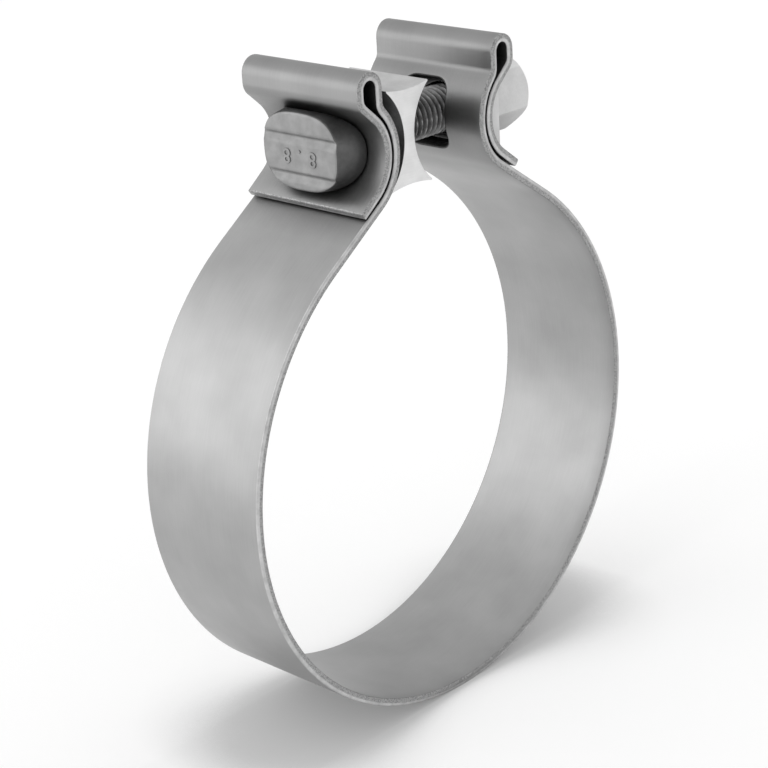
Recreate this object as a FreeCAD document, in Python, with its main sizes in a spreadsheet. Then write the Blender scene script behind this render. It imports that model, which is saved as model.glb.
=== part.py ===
import FreeCAD, Part
import math
import os

import Sketcher

# Exhaust band clamp, millimetres.
# The pipe runs along Y, the bolt along X, and Z points up through the gap between the lugs.
# The origin is the centre of the open ring.

# Driving sizes: name, value, what it is.
DRIVING_SIZES = [
    ("bore_radius", 55.4, "inside radius of the open ring"),
    ("band_width", 31.75, "width of the strip, along the pipe"),
    ("sheet", 1.7, "thickness of the strip"),
    ("lug_gap", 23.8, "open gap between the lug bulges at bolt height"),
    ("seat_radius", 8.8, "hollow in the outside of each lug"),
    ("leg_gap", 0.6, "gap between the two legs of a lug"),
    ("ramp_length", 16.8, "straight run from the ring to the bulge"),
    ("neck_radius", 2.15, "bend from the bulge up into the loop"),
    ("loop_setback", 4.2, "loop wall behind the bulge"),
    ("loop_wall", 2.96, "straight wall between the neck and the loop"),
    ("loop_radius", 3.4, "outside radius of the folded loop"),
    ("shoulder_length", 3.87, "straight run from the loop to the seat"),
    ("flap_angle", 37.0, "slope of the free flap below level"),
    ("flap_length", 5.2, "straight run of the free flap"),
    ("slot_width", 12.8, "bolt slot, along the pipe"),
    ("slot_height", 14.8, "bolt slot, end to end"),
    ("slot_corner", 3.0, "corner radius of the bolt slot"),
    ("thread_diameter", 10.0, "bolt thread"),
    ("thread_play", 0.05, "radial clearance of the thread in the nut"),
    ("bolt_play", 0.45, "radial clearance of the plain holes"),
    ("seat_play", 0.3, "clearance of the half-round faces in the seats"),
    ("head_rise", 7.9, "bolt head, from the seat to its flat face"),
    ("head_length", 20.0, "flat face, along the pipe"),
    ("head_height", 15.8, "flat face, up and down"),
    ("head_flare", 1.0, "growth of the head on each side down to the seat"),
    ("head_end_radius", 10.5, "arc of the head's short sides"),
    ("head_long_radius", 20.0, "arc of the head's long sides"),
    ("strip_height", 7.7, "from one forged groove of the head to the other"),
    ("strip_drop", 1.0, "middle of the two grooves below the bolt's axis"),
    ("groove_radius", 0.5, "round bottom of a forged groove"),
    ("groove_depth", 0.35, "depth of a forged groove"),
    ("bolt_overhang", 1.5, "thread beyond the nut"),
    ("bolt_chamfer", 1.0, "chamfer on the thread's end"),
    ("washer_length", 21.5, "half-round washer, along the pipe"),
    ("washer_height", 16.0, "half-round washer, up and down"),
    ("washer_rise", 8.0, "from the seat to the washer's flat"),
    ("nut_flats", 15.0, "nut across flats"),
    ("nut_length", 14.2, "nut along the bolt"),
    ("nut_turn", 18.0, "nut as it stands on the thread, degrees"),
    ("nut_face", 14.2, "round face left by the nut's chamfers"),
    ("nut_chamfer", 40.0, "outer chamfer of the nut, degrees from the axis"),
    ("nut_seat_chamfer", 60.0, "chamfer on the washer's side, degrees from the axis"),
    ("block_length", 21.2, "reaction block, along the pipe"),
    ("block_height", 20.7, "reaction block, tip to tip"),
    ("block_width", 12.2, "reaction block, across its tips"),
    ("block_waist", 3.0, "reaction block between its hollow sides"),
    ("block_sag", 0.7, "hollow of the block's top and bottom"),
    ("block_play", 0.4, "the block's hollow sides are this much larger than the bulge"),
    ("block_place", -3.5, "the block along the bolt, from the middle"),
]

# Worked out from the driving sizes: name, formula, what it is.
DERIVED_SIZES = [
    ("bulge_radius", "Sizes.seat_radius + 2 * Sizes.sheet + Sizes.leg_gap", "lug face on the block"),
    ("seat_x", "Sizes.lug_gap / 2 + bulge_radius", "seat centre, from the middle"),
    (
        "bolt_z",
        "sqrt((Sizes.bore_radius + bulge_radius) ^ 2 + Sizes.ramp_length ^ 2 - seat_x ^ 2)",
        "height of the bolt over the ring's centre",
    ),
    ("wall_x", "Sizes.lug_gap / 2 + Sizes.loop_setback", "inside wall of the loop"),
    ("loop_x", "wall_x + Sizes.loop_radius", "loop centre, from the middle"),
    (
        "neck_z",
        "bolt_z + sqrt((bulge_radius + Sizes.neck_radius) ^ 2"
        " - (seat_x - wall_x + Sizes.neck_radius) ^ 2)",
        "height where the neck turns upright",
    ),
    ("loop_z", "neck_z + Sizes.loop_wall", "height of the loop's centre"),
    (
        "shoulder_z",
        "bolt_z + sqrt((Sizes.loop_radius + Sizes.seat_radius) ^ 2 + Sizes.shoulder_length ^ 2"
        " - (seat_x - loop_x) ^ 2)",
        "height of the loop's lower bend",
    ),
    ("round_radius", "Sizes.seat_radius - Sizes.seat_play", "half-round faces of head and washer"),
    ("hole_radius", "Sizes.thread_diameter / 2 + Sizes.bolt_play", "plain hole for the bolt"),
    ("head_x", "Sizes.seat_radius - seat_x - Sizes.head_rise", "flat face of the head"),
    ("washer_x", "seat_x - Sizes.seat_radius + Sizes.washer_rise", "flat of the washer"),
    ("nut_end_x", "washer_x + Sizes.nut_length", "outer end of the nut"),
    ("bolt_end_x", "nut_end_x + Sizes.bolt_overhang", "end of the thread"),
]

ALONG_X = FreeCAD.Rotation(FreeCAD.Vector(0, 1, 0), 90)
ALONG_Y = FreeCAD.Rotation(FreeCAD.Vector(1, 0, 0), -90)
SECTION_PLANE = FreeCAD.Rotation(FreeCAD.Vector(1, 0, 0), 90)
END_PLANE = FreeCAD.Rotation(FreeCAD.Vector(1, 1, 1), 120)

doc = FreeCAD.newDocument("exhaust_clamp")


def fill_sheet(name, rows, prefix=""):
    """Write rows of (name, value, meaning) into a new spreadsheet and return it."""
    sheet = doc.addObject("Spreadsheet::Sheet", name)
    for number, (alias, value, meaning) in enumerate(rows, start=1):
        sheet.set(f"A{number}", meaning)
        sheet.set(f"B{number}", f"{prefix}{value}")
        sheet.setAlias(f"B{number}", alias)
    doc.recompute()
    return sheet


sizes = fill_sheet("Sizes", DRIVING_SIZES)
places = fill_sheet("Places", DERIVED_SIZES, prefix="=")


def bind(obj, **expressions):
    """Bind properties of an object to the sheets; a double underscore stands for a dot."""
    for path, expression in expressions.items():
        obj.setExpression(path.replace("__", "."), expression)


def add(kind, name, **expressions):
    """Add an object to the document and bind its sizes."""
    obj = doc.addObject(kind, name)
    bind(obj, **expressions)
    return obj


def cylinder_along_x(name, radius, start, length):
    """Round bar on the bolt's axis, from the plane x = start."""
    bar = add("Part::Cylinder", name, Radius=radius, Height=length)
    bar.Placement.Rotation = ALONG_X
    bind(bar, Placement__Base__x=start, Placement__Base__z="Places.bolt_z")
    return bar


def boolean(kind, name, base, tool):
    """Part::Cut or Part::Common of two objects."""
    result = doc.addObject(kind, name)
    result.Base = base
    result.Tool = tool
    return result


def fuse(name, shapes):
    """Join several objects into one."""
    result = doc.addObject("Part::MultiFuse", name)
    result.Shapes = shapes
    return result


def extrude(name, profile, direction, length, both_ways=False):
    """Extrude a profile along a direction by a bound length."""
    solid = doc.addObject("Part::Extrusion", name)
    solid.Base = profile
    solid.DirMode = "Custom"
    solid.Dir = direction
    solid.Solid = True
    solid.Symmetric = both_ways
    bind(solid, LengthFwd=length)
    return solid


class Outline:
    """Chain of lines and arcs in a sketch, joined end to start by tangent constraints."""

    def __init__(self, name, rotation):
        self.sketch = doc.addObject("Sketcher::SketchObject", name)
        self.sketch.Placement.Rotation = rotation
        self.count = 0

    def constrain(self, *arguments, expression=None):
        """Add one constraint and bind its value where an expression is given."""
        index = self.sketch.addConstraint(Sketcher.Constraint(*arguments))
        if expression is not None:
            self.sketch.setExpression(f"Constraints[{index}]", expression)
        return index

    def line(self, start, end):
        """Add a line between two points."""
        edge = Part.LineSegment(FreeCAD.Vector(*start, 0), FreeCAD.Vector(*end, 0))
        return self.sketch.addGeometry(edge, False)

    def arc(self, centre, radius, first, last):
        """Add an arc that runs counterclockwise between two angles in radians."""
        circle = Part.Circle(FreeCAD.Vector(*centre, 0), FreeCAD.Vector(0, 0, 1), radius)
        return self.sketch.addGeometry(Part.ArcOfCircle(circle, first, last), False)

    def centre_at(self, arc, x_expression, z_expression, centre):
        """Hold an arc's centre at a bound place."""
        self.constrain("DistanceX", -1, 1, arc, 3, centre[0], expression=x_expression)
        self.constrain("DistanceY", -1, 1, arc, 3, centre[1], expression=z_expression)


def lug_face():
    """Bore face of the right half of the strip, from the ring's bottom to the flap's end.

    The ring runs up into a straight ramp, bulges towards the middle round the seat's centre,
    bends upright at the neck, goes over the loop, comes down the shoulder, lines the seat and
    ends in the free flap. Each straight run is tangent to the arcs beside it.
    """
    bore = sizes.bore_radius
    bulge = places.bulge_radius
    seat_centre = (places.seat_x, places.bolt_z)
    loop_centre = (places.loop_x, places.loop_z)
    shoulder_centre = (places.loop_x, places.shoulder_z)
    neck_centre = (places.wall_x - sizes.neck_radius, places.neck_z)

    def polar(centre, radius, angle):
        return (centre[0] + radius * math.cos(angle), centre[1] + radius * math.sin(angle))

    reach = math.hypot(*seat_centre)
    ramp_angle = math.atan2(seat_centre[1], seat_centre[0]) - math.acos((bore + bulge) / reach)
    neck_angle = math.atan2(neck_centre[1] - seat_centre[1], neck_centre[0] - seat_centre[0])
    drop = (seat_centre[0] - shoulder_centre[0], seat_centre[1] - shoulder_centre[1])
    shoulder_angle = math.atan2(drop[1], drop[0]) + math.acos(
        (sizes.loop_radius + sizes.seat_radius) / math.hypot(*drop)
    )
    flap_slope = math.radians(sizes.flap_angle)
    flap_start = polar(seat_centre, sizes.seat_radius, math.pi * 1.5 - flap_slope)
    flap_end = polar(flap_start, sizes.flap_length, -flap_slope)

    face = Outline("strip_face", SECTION_PLANE)
    ring = face.arc((0, 0), bore, -math.pi / 2, ramp_angle)
    ramp = face.line(
        polar((0, 0), bore, ramp_angle), polar(seat_centre, bulge, ramp_angle + math.pi)
    )
    bulge_arc = face.arc(seat_centre, bulge, neck_angle, ramp_angle + math.pi)
    neck = face.arc(neck_centre, sizes.neck_radius, neck_angle - math.pi, 0)
    wall = face.line((places.wall_x, neck_centre[1]), (places.wall_x, loop_centre[1]))
    crown = face.arc(loop_centre, sizes.loop_radius, 0, math.pi)
    outer_x = loop_centre[0] + sizes.loop_radius
    drop_wall = face.line((outer_x, loop_centre[1]), (outer_x, shoulder_centre[1]))
    under = face.arc(shoulder_centre, sizes.loop_radius, shoulder_angle, 0)
    shoulder = face.line(
        polar(shoulder_centre, sizes.loop_radius, shoulder_angle),
        polar(seat_centre, sizes.seat_radius, shoulder_angle + math.pi),
    )
    seat = face.arc(
        seat_centre, sizes.seat_radius, shoulder_angle + math.pi, math.pi * 1.5 - flap_slope
    )
    flap = face.line(flap_start, flap_end)

    start, end = 1, 2
    joints = [
        (ring, end, ramp, start),
        (ramp, end, bulge_arc, end),
        (bulge_arc, start, neck, start),
        (neck, end, wall, start),
        (wall, end, crown, end),
        (crown, start, drop_wall, start),
        (drop_wall, end, under, end),
        (under, start, shoulder, start),
        (shoulder, end, seat, start),
        (seat, end, flap, start),
    ]
    for first, first_point, second, second_point in joints:
        face.constrain("Tangent", first, first_point, second, second_point)
    face.constrain("Coincident", ring, 3, -1, 1)
    face.constrain("PointOnObject", ring, start, -2)
    face.constrain("Radius", ring, bore, expression="Sizes.bore_radius")
    face.constrain("Distance", ramp, sizes.ramp_length, expression="Sizes.ramp_length")
    face.constrain("DistanceX", -1, 1, bulge_arc, 3, seat_centre[0], expression="Places.seat_x")
    face.constrain("Radius", bulge_arc, bulge, expression="Places.bulge_radius")
    face.constrain("Radius", neck, sizes.neck_radius, expression="Sizes.neck_radius")
    face.constrain("Vertical", wall)
    face.constrain("Distance", wall, sizes.loop_wall, expression="Sizes.loop_wall")
    face.constrain("DistanceX", -1, 1, wall, start, places.wall_x, expression="Places.wall_x")
    face.constrain("Radius", crown, sizes.loop_radius, expression="Sizes.loop_radius")
    face.constrain("Vertical", drop_wall)
    face.constrain("Equal", crown, under)
    face.constrain(
        "Distance", shoulder, sizes.shoulder_length, expression="Sizes.shoulder_length"
    )
    face.constrain("Coincident", seat, 3, bulge_arc, 3)
    face.constrain("Radius", seat, sizes.seat_radius, expression="Sizes.seat_radius")
    face.constrain("Distance", flap, sizes.flap_length, expression="Sizes.flap_length")
    face.constrain(
        "Angle", flap, start, -1, 1, flap_slope, expression="Sizes.flap_angle * 1 deg"
    )
    return face.sketch


def slot_tool():
    """Upright slot with rounded corners that passes both legs of the right lug."""
    start, length = "Sizes.lug_gap / 4", "Places.seat_x - Sizes.seat_radius"
    tools = []
    for side, mark in (("near", "-"), ("far", "")):
        for end, sign in (("top", "+"), ("bottom", "-")):
            corner = add(
                "Part::Cylinder",
                f"slot_{end}_{side}",
                Radius="Sizes.slot_corner",
                Height=length,
            )
            corner.Placement.Rotation = ALONG_X
            bind(
                corner,
                Placement__Base__x=start,
                Placement__Base__y=f"{mark}(Sizes.slot_width / 2 - Sizes.slot_corner)",
                Placement__Base__z=(
                    f"Places.bolt_z {sign} (Sizes.slot_height / 2 - Sizes.slot_corner)"
                ),
            )
            tools.append(corner)
    corners = "2 * Sizes.slot_corner"
    for name, width, height in (
        ("slot_middle", "Sizes.slot_width", f"Sizes.slot_height - {corners}"),
        ("slot_ends", f"Sizes.slot_width - {corners}", "Sizes.slot_height"),
    ):
        box = add("Part::Box", name, Length=length, Width=width, Height=height)
        bind(
            box,
            Placement__Base__x=start,
            Placement__Base__y=f"-({width}) / 2",
            Placement__Base__z=f"Places.bolt_z - ({height}) / 2",
        )
        tools.append(box)
    return fuse("slot", tools)


def mirrored(name, source):
    """Mirror image of an object across the middle plane between the lugs."""
    copy = doc.addObject("Part::Mirroring", name)
    copy.Source = source
    copy.Normal = (1, 0, 0)
    copy.Base = (0, 0, 0)
    return copy


def band_halves():
    """The strip, split at the ring's bottom where it flexes as the clamp closes."""
    section = doc.addObject("Part::Offset2D", "strip_section")
    section.Source = lug_face()
    section.Mode = "Skin"
    section.Fill = True
    bind(section, Value="-Sizes.sheet")
    strip = extrude(
        "right_strip", section, FreeCAD.Vector(0, 1, 0), "Sizes.band_width", both_ways=True
    )
    right = boolean("Part::Cut", "band_right", strip, slot_tool())
    return [right, mirrored("band_left", right)]


def lens(name, growth, x_place):
    """Outline of the forged head across the bolt: four arcs that meet in corners.

    growth says how far the outline stands outside the flat face's own, at the given place
    along the bolt.
    """
    half_length = sizes.head_length / 2
    half_height = sizes.head_height / 2
    end_radius = sizes.head_end_radius
    long_radius = sizes.head_long_radius
    end_centre = half_length - end_radius
    long_centre = half_height - long_radius
    end_angle = math.asin(half_height / end_radius / math.sqrt(2))
    long_angle = math.acos(half_length / long_radius / math.sqrt(2))

    shape = Outline(name, END_PLANE)
    right = shape.arc((end_centre, 0), end_radius, -end_angle, end_angle)
    top = shape.arc((0, long_centre), long_radius, long_angle, math.pi - long_angle)
    left = shape.arc((-end_centre, 0), end_radius, math.pi - end_angle, math.pi + end_angle)
    bottom = shape.arc((0, -long_centre), long_radius, math.pi + long_angle, -long_angle)
    arcs = [right, top, left, bottom]
    for first, second in zip(arcs, arcs[1:] + arcs[:1]):
        shape.constrain("Coincident", first, 2, second, 1)
    end_place = f"Sizes.head_length / 2 + {growth} - Sizes.head_end_radius"
    long_place = f"Sizes.head_long_radius - Sizes.head_height / 2 - {growth}"
    for arc, sign in ((right, 1), (left, -1)):
        shape.constrain("PointOnObject", arc, 3, -1)
        shape.constrain("Radius", arc, end_radius, expression="Sizes.head_end_radius")
        place = end_place if sign > 0 else f"-({end_place})"
        shape.constrain("DistanceX", -1, 1, arc, 3, sign * end_centre, expression=place)
    for arc, sign in ((top, 1), (bottom, -1)):
        shape.constrain("PointOnObject", arc, 3, -2)
        shape.constrain("Radius", arc, long_radius, expression="Sizes.head_long_radius")
        place = f"-({long_place})" if sign > 0 else long_place
        shape.constrain("DistanceY", -1, 1, arc, 3, sign * long_centre, expression=place)
    bind(shape.sketch, Placement__Base__x=x_place, Placement__Base__z="Places.bolt_z")
    return shape.sketch


def cylinder_along_y(name, radius, x_place, z_place, length):
    """Bar parallel to the pipe, centred on the middle of the band's width."""
    bar = add("Part::Cylinder", name, Radius=radius, Height=length)
    bar.Placement.Rotation = ALONG_Y
    bind(
        bar,
        Placement__Base__x=x_place,
        Placement__Base__y=f"-({length}) / 2",
        Placement__Base__z=z_place,
    )
    return bar


def bolt():
    """Forged bolt: flared head with two grooves, half-round underside, and a plain thread bar."""
    flare = doc.addObject("Part::Loft", "head_flare")
    flare.Sections = [
        lens("head_face", "0", "Places.head_x"),
        lens("head_foot", "Sizes.head_flare", "Places.round_radius - Places.seat_x"),
    ]
    flare.Solid = True
    flare.Ruled = True
    underside = cylinder_along_y(
        "head_underside",
        "Places.round_radius",
        "-Places.seat_x",
        "Places.bolt_z",
        "2 * Sizes.head_length",
    )
    head = boolean("Part::Common", "head_blank", flare, underside)
    for name, sign in (("upper_groove", "+"), ("lower_groove", "-")):
        groove = cylinder_along_y(
            name,
            "Sizes.groove_radius",
            "Places.head_x + Sizes.groove_depth - Sizes.groove_radius",
            f"Places.bolt_z - Sizes.strip_drop {sign} Sizes.strip_height / 2",
            "2 * Sizes.head_length",
        )
        head = boolean("Part::Cut", f"{name}_cut", head, groove)
    radius = "Sizes.thread_diameter / 2"
    start = "(Places.head_x + Places.round_radius - Places.seat_x) / 2"
    end = "Places.bolt_end_x - Sizes.bolt_chamfer"
    shank = cylinder_along_x("shank", radius, start, f"{end} - {start}")
    point = add(
        "Part::Cone",
        "thread_point",
        Radius1=radius,
        Radius2=f"{radius} - Sizes.bolt_chamfer",
        Height="Sizes.bolt_chamfer",
    )
    point.Placement.Rotation = ALONG_X
    bind(point, Placement__Base__x=end, Placement__Base__z="Places.bolt_z")
    return fuse("bolt", [head, shank, point])


def half_round_washer():
    """Half-round washer: its round side rocks in the right lug, the nut bears on its flat."""
    roller = cylinder_along_y(
        "washer_round",
        "Places.round_radius",
        "Places.seat_x",
        "Places.bolt_z",
        "Sizes.washer_length",
    )
    slab = add(
        "Part::Box",
        "washer_slab",
        Length="Places.round_radius + Places.washer_x - Places.seat_x",
        Width="Sizes.washer_length",
        Height="Sizes.washer_height",
        Placement__Base__x="Places.seat_x - Places.round_radius",
        Placement__Base__y="-Sizes.washer_length / 2",
        Placement__Base__z="Places.bolt_z - Sizes.washer_height / 2",
    )
    body = boolean("Part::Common", "washer_body", roller, slab)
    hole = cylinder_along_x("washer_hole", "Places.hole_radius", "0", "2 * Places.seat_x")
    return boolean("Part::Cut", "half_round_washer", body, hole)


def nut():
    """Tall hexagon nut, chamfered at both ends."""
    hexagon = add(
        "Part::Prism",
        "nut_hexagon",
        Circumradius="Sizes.nut_flats / sqrt(3)",
        Height="Sizes.nut_length",
    )
    hexagon.Polygon = 6
    turn = FreeCAD.Rotation(FreeCAD.Vector(1, 0, 0), sizes.nut_turn)
    corner_forward = FreeCAD.Rotation(FreeCAD.Vector(1, 0, 0), 90)
    hexagon.Placement.Rotation = turn * corner_forward * ALONG_X
    bind(hexagon, Placement__Base__x="Places.washer_x", Placement__Base__z="Places.bolt_z")
    face = "Sizes.nut_face / 2"
    ends = [
        ("nut_outer_chamfer", f"{face} + Sizes.nut_length * tan(Sizes.nut_chamfer * 1 deg)", face),
        ("nut_seat_chamfer", face, f"{face} + Sizes.nut_length * tan(Sizes.nut_seat_chamfer * 1 deg)"),
    ]
    body = hexagon
    for name, first, last in ends:
        cone = add(
            "Part::Cone", name, Radius1=first, Radius2=last, Height="Sizes.nut_length"
        )
        cone.Placement.Rotation = ALONG_X
        bind(cone, Placement__Base__x="Places.washer_x", Placement__Base__z="Places.bolt_z")
        body = boolean("Part::Common", f"{name}ed", body, cone)
    hole = cylinder_along_x(
        "nut_bore",
        "Sizes.thread_diameter / 2 + Sizes.thread_play",
        "Places.washer_x - Sizes.nut_length / 2",
        "2 * Sizes.nut_length",
    )
    return boolean("Part::Cut", "nut", body, hole)


def reaction_block():
    """Extruded block between the lugs: hollow sides that fit the bulges, and four tips."""
    half_width = sizes.block_width / 2
    half_height = sizes.block_height / 2
    side_radius = places.bulge_radius + sizes.block_play
    side_centre = sizes.block_waist / 2 + side_radius
    top_radius = (half_width**2 + sizes.block_sag**2) / (2 * sizes.block_sag)
    top_centre = half_height - sizes.block_sag + top_radius
    shoulder = math.acos((side_centre - half_width) / side_radius)
    spread = math.asin(half_width / top_radius)

    shape = Outline("block_section", SECTION_PLANE)
    right = shape.arc((side_centre, 0), side_radius, math.pi - shoulder, math.pi + shoulder)
    left = shape.arc((-side_centre, 0), side_radius, -shoulder, shoulder)
    up = math.pi / 2
    top = shape.arc((0, top_centre), top_radius, -up - spread, -up + spread)
    bottom = shape.arc((0, -top_centre), top_radius, up - spread, up + spread)
    tip_z = side_radius * math.sin(shoulder)
    tips = {}
    for x_sign in (1, -1):
        for z_sign in (1, -1):
            tips[x_sign, z_sign] = shape.line(
                (x_sign * half_width, z_sign * tip_z), (x_sign * half_width, z_sign * half_height)
            )
    corners = [
        (right, 1, tips[1, 1], 1),
        (tips[1, 1], 2, top, 2),
        (top, 1, tips[-1, 1], 2),
        (tips[-1, 1], 1, left, 2),
        (left, 1, tips[-1, -1], 1),
        (tips[-1, -1], 2, bottom, 2),
        (bottom, 1, tips[1, -1], 2),
        (tips[1, -1], 1, right, 2),
    ]
    for first, first_point, second, second_point in corners:
        shape.constrain("Coincident", first, first_point, second, second_point)
    side_size = "Places.bulge_radius + Sizes.block_play"
    top_size = "((Sizes.block_width / 2) ^ 2 + Sizes.block_sag ^ 2) / (2 * Sizes.block_sag)"
    for arc, sign, mark in ((right, 1, ""), (left, -1, "-")):
        shape.constrain("PointOnObject", arc, 3, -1)
        shape.constrain("Radius", arc, side_radius, expression=side_size)
        place = f"{mark}(Sizes.block_waist / 2 + {side_size})"
        shape.constrain("DistanceX", -1, 1, arc, 3, sign * side_centre, expression=place)
    for arc, sign, mark in ((top, 1, ""), (bottom, -1, "-")):
        shape.constrain("PointOnObject", arc, 3, -2)
        shape.constrain("Radius", arc, top_radius, expression=top_size)
        place = f"{mark}(Sizes.block_height / 2 - Sizes.block_sag + {top_size})"
        shape.constrain("DistanceY", -1, 1, arc, 3, sign * top_centre, expression=place)
    for (x_sign, _), tip in tips.items():
        shape.constrain("Vertical", tip)
        mark = "" if x_sign > 0 else "-"
        shape.constrain(
            "DistanceX",
            -1,
            1,
            tip,
            1,
            x_sign * half_width,
            expression=f"{mark}Sizes.block_width / 2",
        )
    bind(
        shape.sketch, Placement__Base__x="Sizes.block_place", Placement__Base__z="Places.bolt_z"
    )
    bar = extrude(
        "block_bar", shape.sketch, FreeCAD.Vector(0, 1, 0), "Sizes.block_length", both_ways=True
    )
    hole = cylinder_along_x(
        "block_hole",
        "Places.hole_radius",
        "Sizes.block_place - Sizes.block_width",
        "2 * Sizes.block_width",
    )
    return boolean("Part::Cut", "reaction_block", bar, hole)


def check(parts):
    """Stop with a message if any object failed, or if a part isn't a sound solid."""
    doc.recompute()
    for obj in doc.Objects:
        for state in ("Invalid", "Error"):
            if state in obj.State:
                raise RuntimeError(f"{obj.Name} is in state {state}")
    for obj in parts:
        shape = obj.Shape
        if shape.isNull() or not shape.isValid():
            raise RuntimeError(f"{obj.Name} has no valid shape")
        if len(shape.Solids) != 1:
            raise RuntimeError(f"{obj.Name} has {len(shape.Solids)} solids")


def write(parts):
    """Write one STEP file per part, named after its label."""
    os.makedirs("parts", exist_ok=True)
    for obj in parts:
        obj.Shape.exportStep(os.path.join("parts", f"{obj.Label}.step"))
        box = obj.Shape.BoundBox
        print(
            f"{obj.Label}: {obj.Shape.Volume:.1f} mm3, x {box.XMin:.2f} to {box.XMax:.2f}, "
            f"y {box.YMin:.2f} to {box.YMax:.2f}, z {box.ZMin:.2f} to {box.ZMax:.2f}"
        )


clamp = band_halves() + [reaction_block(), bolt(), half_round_washer(), nut()]
check(clamp)
write(clamp)
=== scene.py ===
"""Looks of an exhaust band clamp: folded stainless strip, forged bolt, washer, nut and block."""

import logging
import math
from dataclasses import dataclass, field
from enum import Enum
from typing import Any, Callable, Sequence

import bmesh
import bpy
from mathutils import Matrix, Vector

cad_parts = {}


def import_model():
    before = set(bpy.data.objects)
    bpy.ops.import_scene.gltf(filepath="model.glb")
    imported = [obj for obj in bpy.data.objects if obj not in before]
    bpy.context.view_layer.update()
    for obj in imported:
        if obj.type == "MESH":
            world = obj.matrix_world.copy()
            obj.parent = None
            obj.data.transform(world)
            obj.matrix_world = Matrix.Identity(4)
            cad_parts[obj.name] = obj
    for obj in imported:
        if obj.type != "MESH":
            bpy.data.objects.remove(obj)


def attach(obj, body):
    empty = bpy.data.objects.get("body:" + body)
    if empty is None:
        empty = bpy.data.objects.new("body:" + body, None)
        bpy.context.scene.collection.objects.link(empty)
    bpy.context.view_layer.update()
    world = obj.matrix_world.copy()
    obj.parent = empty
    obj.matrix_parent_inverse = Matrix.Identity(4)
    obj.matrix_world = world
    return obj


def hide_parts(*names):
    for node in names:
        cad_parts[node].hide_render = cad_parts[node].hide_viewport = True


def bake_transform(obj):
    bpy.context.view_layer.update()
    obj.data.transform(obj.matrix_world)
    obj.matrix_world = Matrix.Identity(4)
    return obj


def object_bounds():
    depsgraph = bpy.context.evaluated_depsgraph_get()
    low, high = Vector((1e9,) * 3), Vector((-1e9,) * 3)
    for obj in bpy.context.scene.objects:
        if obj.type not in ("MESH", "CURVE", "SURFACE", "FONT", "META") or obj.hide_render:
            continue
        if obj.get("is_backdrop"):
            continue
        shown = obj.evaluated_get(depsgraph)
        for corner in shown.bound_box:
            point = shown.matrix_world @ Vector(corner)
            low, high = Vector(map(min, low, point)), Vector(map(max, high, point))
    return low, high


LOG = logging.getLogger("exhaust_clamp")
MM = 0.001
SHARP_ANGLE = math.radians(32)
# Names of the map and of the attribute that hold a point's place in the flat strip.
COORDS = "strip"
DEPTH = "strip_depth"
# Halvings of the interval in a search for a crossing, and the least size to divide by.
HALVINGS = 40
TINY = 1e-9
# Points round a drilled hole, and how far its cutter stands out at each end.
DRILL_SIDES = 64
DRILL_MARGIN = 1.0
# Steps across a rounded edge.
ROUNDING_STEPS = 3
# Values between which nearly all of the grain lies, its share in the tone of a finish, and
# where the tones lie on their ramps.
GRAIN_RANGE = (0.3, 0.7)
GRAIN_SHARE = 0.35
TONE_STOPS = (0.36, 0.64)
TORN_STOPS = (0.4, 0.6)
# Openness at which the painted shade in a fold or gap is darkest and at which it is gone, and
# the number of rays that measure it.
PAINTED_SHADE_OPENNESS = (0.3, 0.95)
PAINTED_SHADE_SAMPLES = 6


class Slot(Enum):
    """Names of material slots for the sub-assemblies."""

    BAND = "band"
    BLOCK = "block"
    BOLT = "bolt"
    WASHER = "washer"
    NUT = "nut"


class Side(Enum):
    """Side of the clamp that a lug is on, as the sign of its place along the bolt."""

    LEFT = -1
    RIGHT = 1


def linear(code: str) -> tuple[float, float, float, float]:
    """Turn an sRGB hex colour into linear values.

    Args:
        code: Six hex digits, such as "A0A0A0".

    Returns:
        Linear red, green and blue, and an alpha of 1.
    """
    shares = [int(code[i : i + 2], 16) / 255 for i in (0, 2, 4)]
    low = [share / 12.92 for share in shares]
    high = [((share + 0.055) / 1.055) ** 2.4 for share in shares]
    values = [a if share <= 0.04045 else b for share, a, b in zip(shares, low, high)]
    return (values[0], values[1], values[2], 1.0)


def per_mm(size: float) -> float:
    """Texture scale, per metre, that gives features about size millimetres wide."""
    return 1 / (size * MM)


def add_node(
    tree: bpy.types.NodeTree,
    kind: str,
    settings: dict[str, Any] | None = None,
    stops: Sequence[tuple[float, str]] = (),
    **inputs: Any,
) -> bpy.types.Node:
    """Add a shader node with its settings, values and links.

    Args:
        tree: Node tree that gets the node.
        kind: Blender's name of the node type.
        settings: Properties of the node itself.
        stops: Places from 0 to 1 and hex colours, where the node holds a colour ramp.
        inputs: Input sockets by name, with _ for a space, or in0, in1 by number. Each gets a
            value, or a link where a socket is given.

    Returns:
        The new node.
    """
    node = tree.nodes.new(kind)
    for name, value in (settings or {}).items():
        setattr(node, name, value)
    for number, (place, code) in enumerate(stops):
        points = node.color_ramp.elements
        point = points[number] if number < len(points) else points.new(place)
        point.position = place
        point.color = linear(code)
    for name, value in inputs.items():
        numbered = name.startswith("in") and name[2:].isdigit()
        socket = node.inputs[int(name[2:])] if numbered else node.inputs[name.replace("_", " ")]
        if isinstance(value, bpy.types.NodeSocket):
            tree.links.new(value, socket)
        else:
            socket.default_value = value
    return node


def new_material(name: str) -> tuple[bpy.types.Material, bpy.types.NodeTree]:
    """Make an empty node material and return it with its tree.

    Args:
        name: Name of the material.

    Returns:
        The material and its node tree.
    """
    material = bpy.data.materials.new(name)
    material.use_nodes = True
    material.node_tree.nodes.clear()
    return material, material.node_tree


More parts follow.
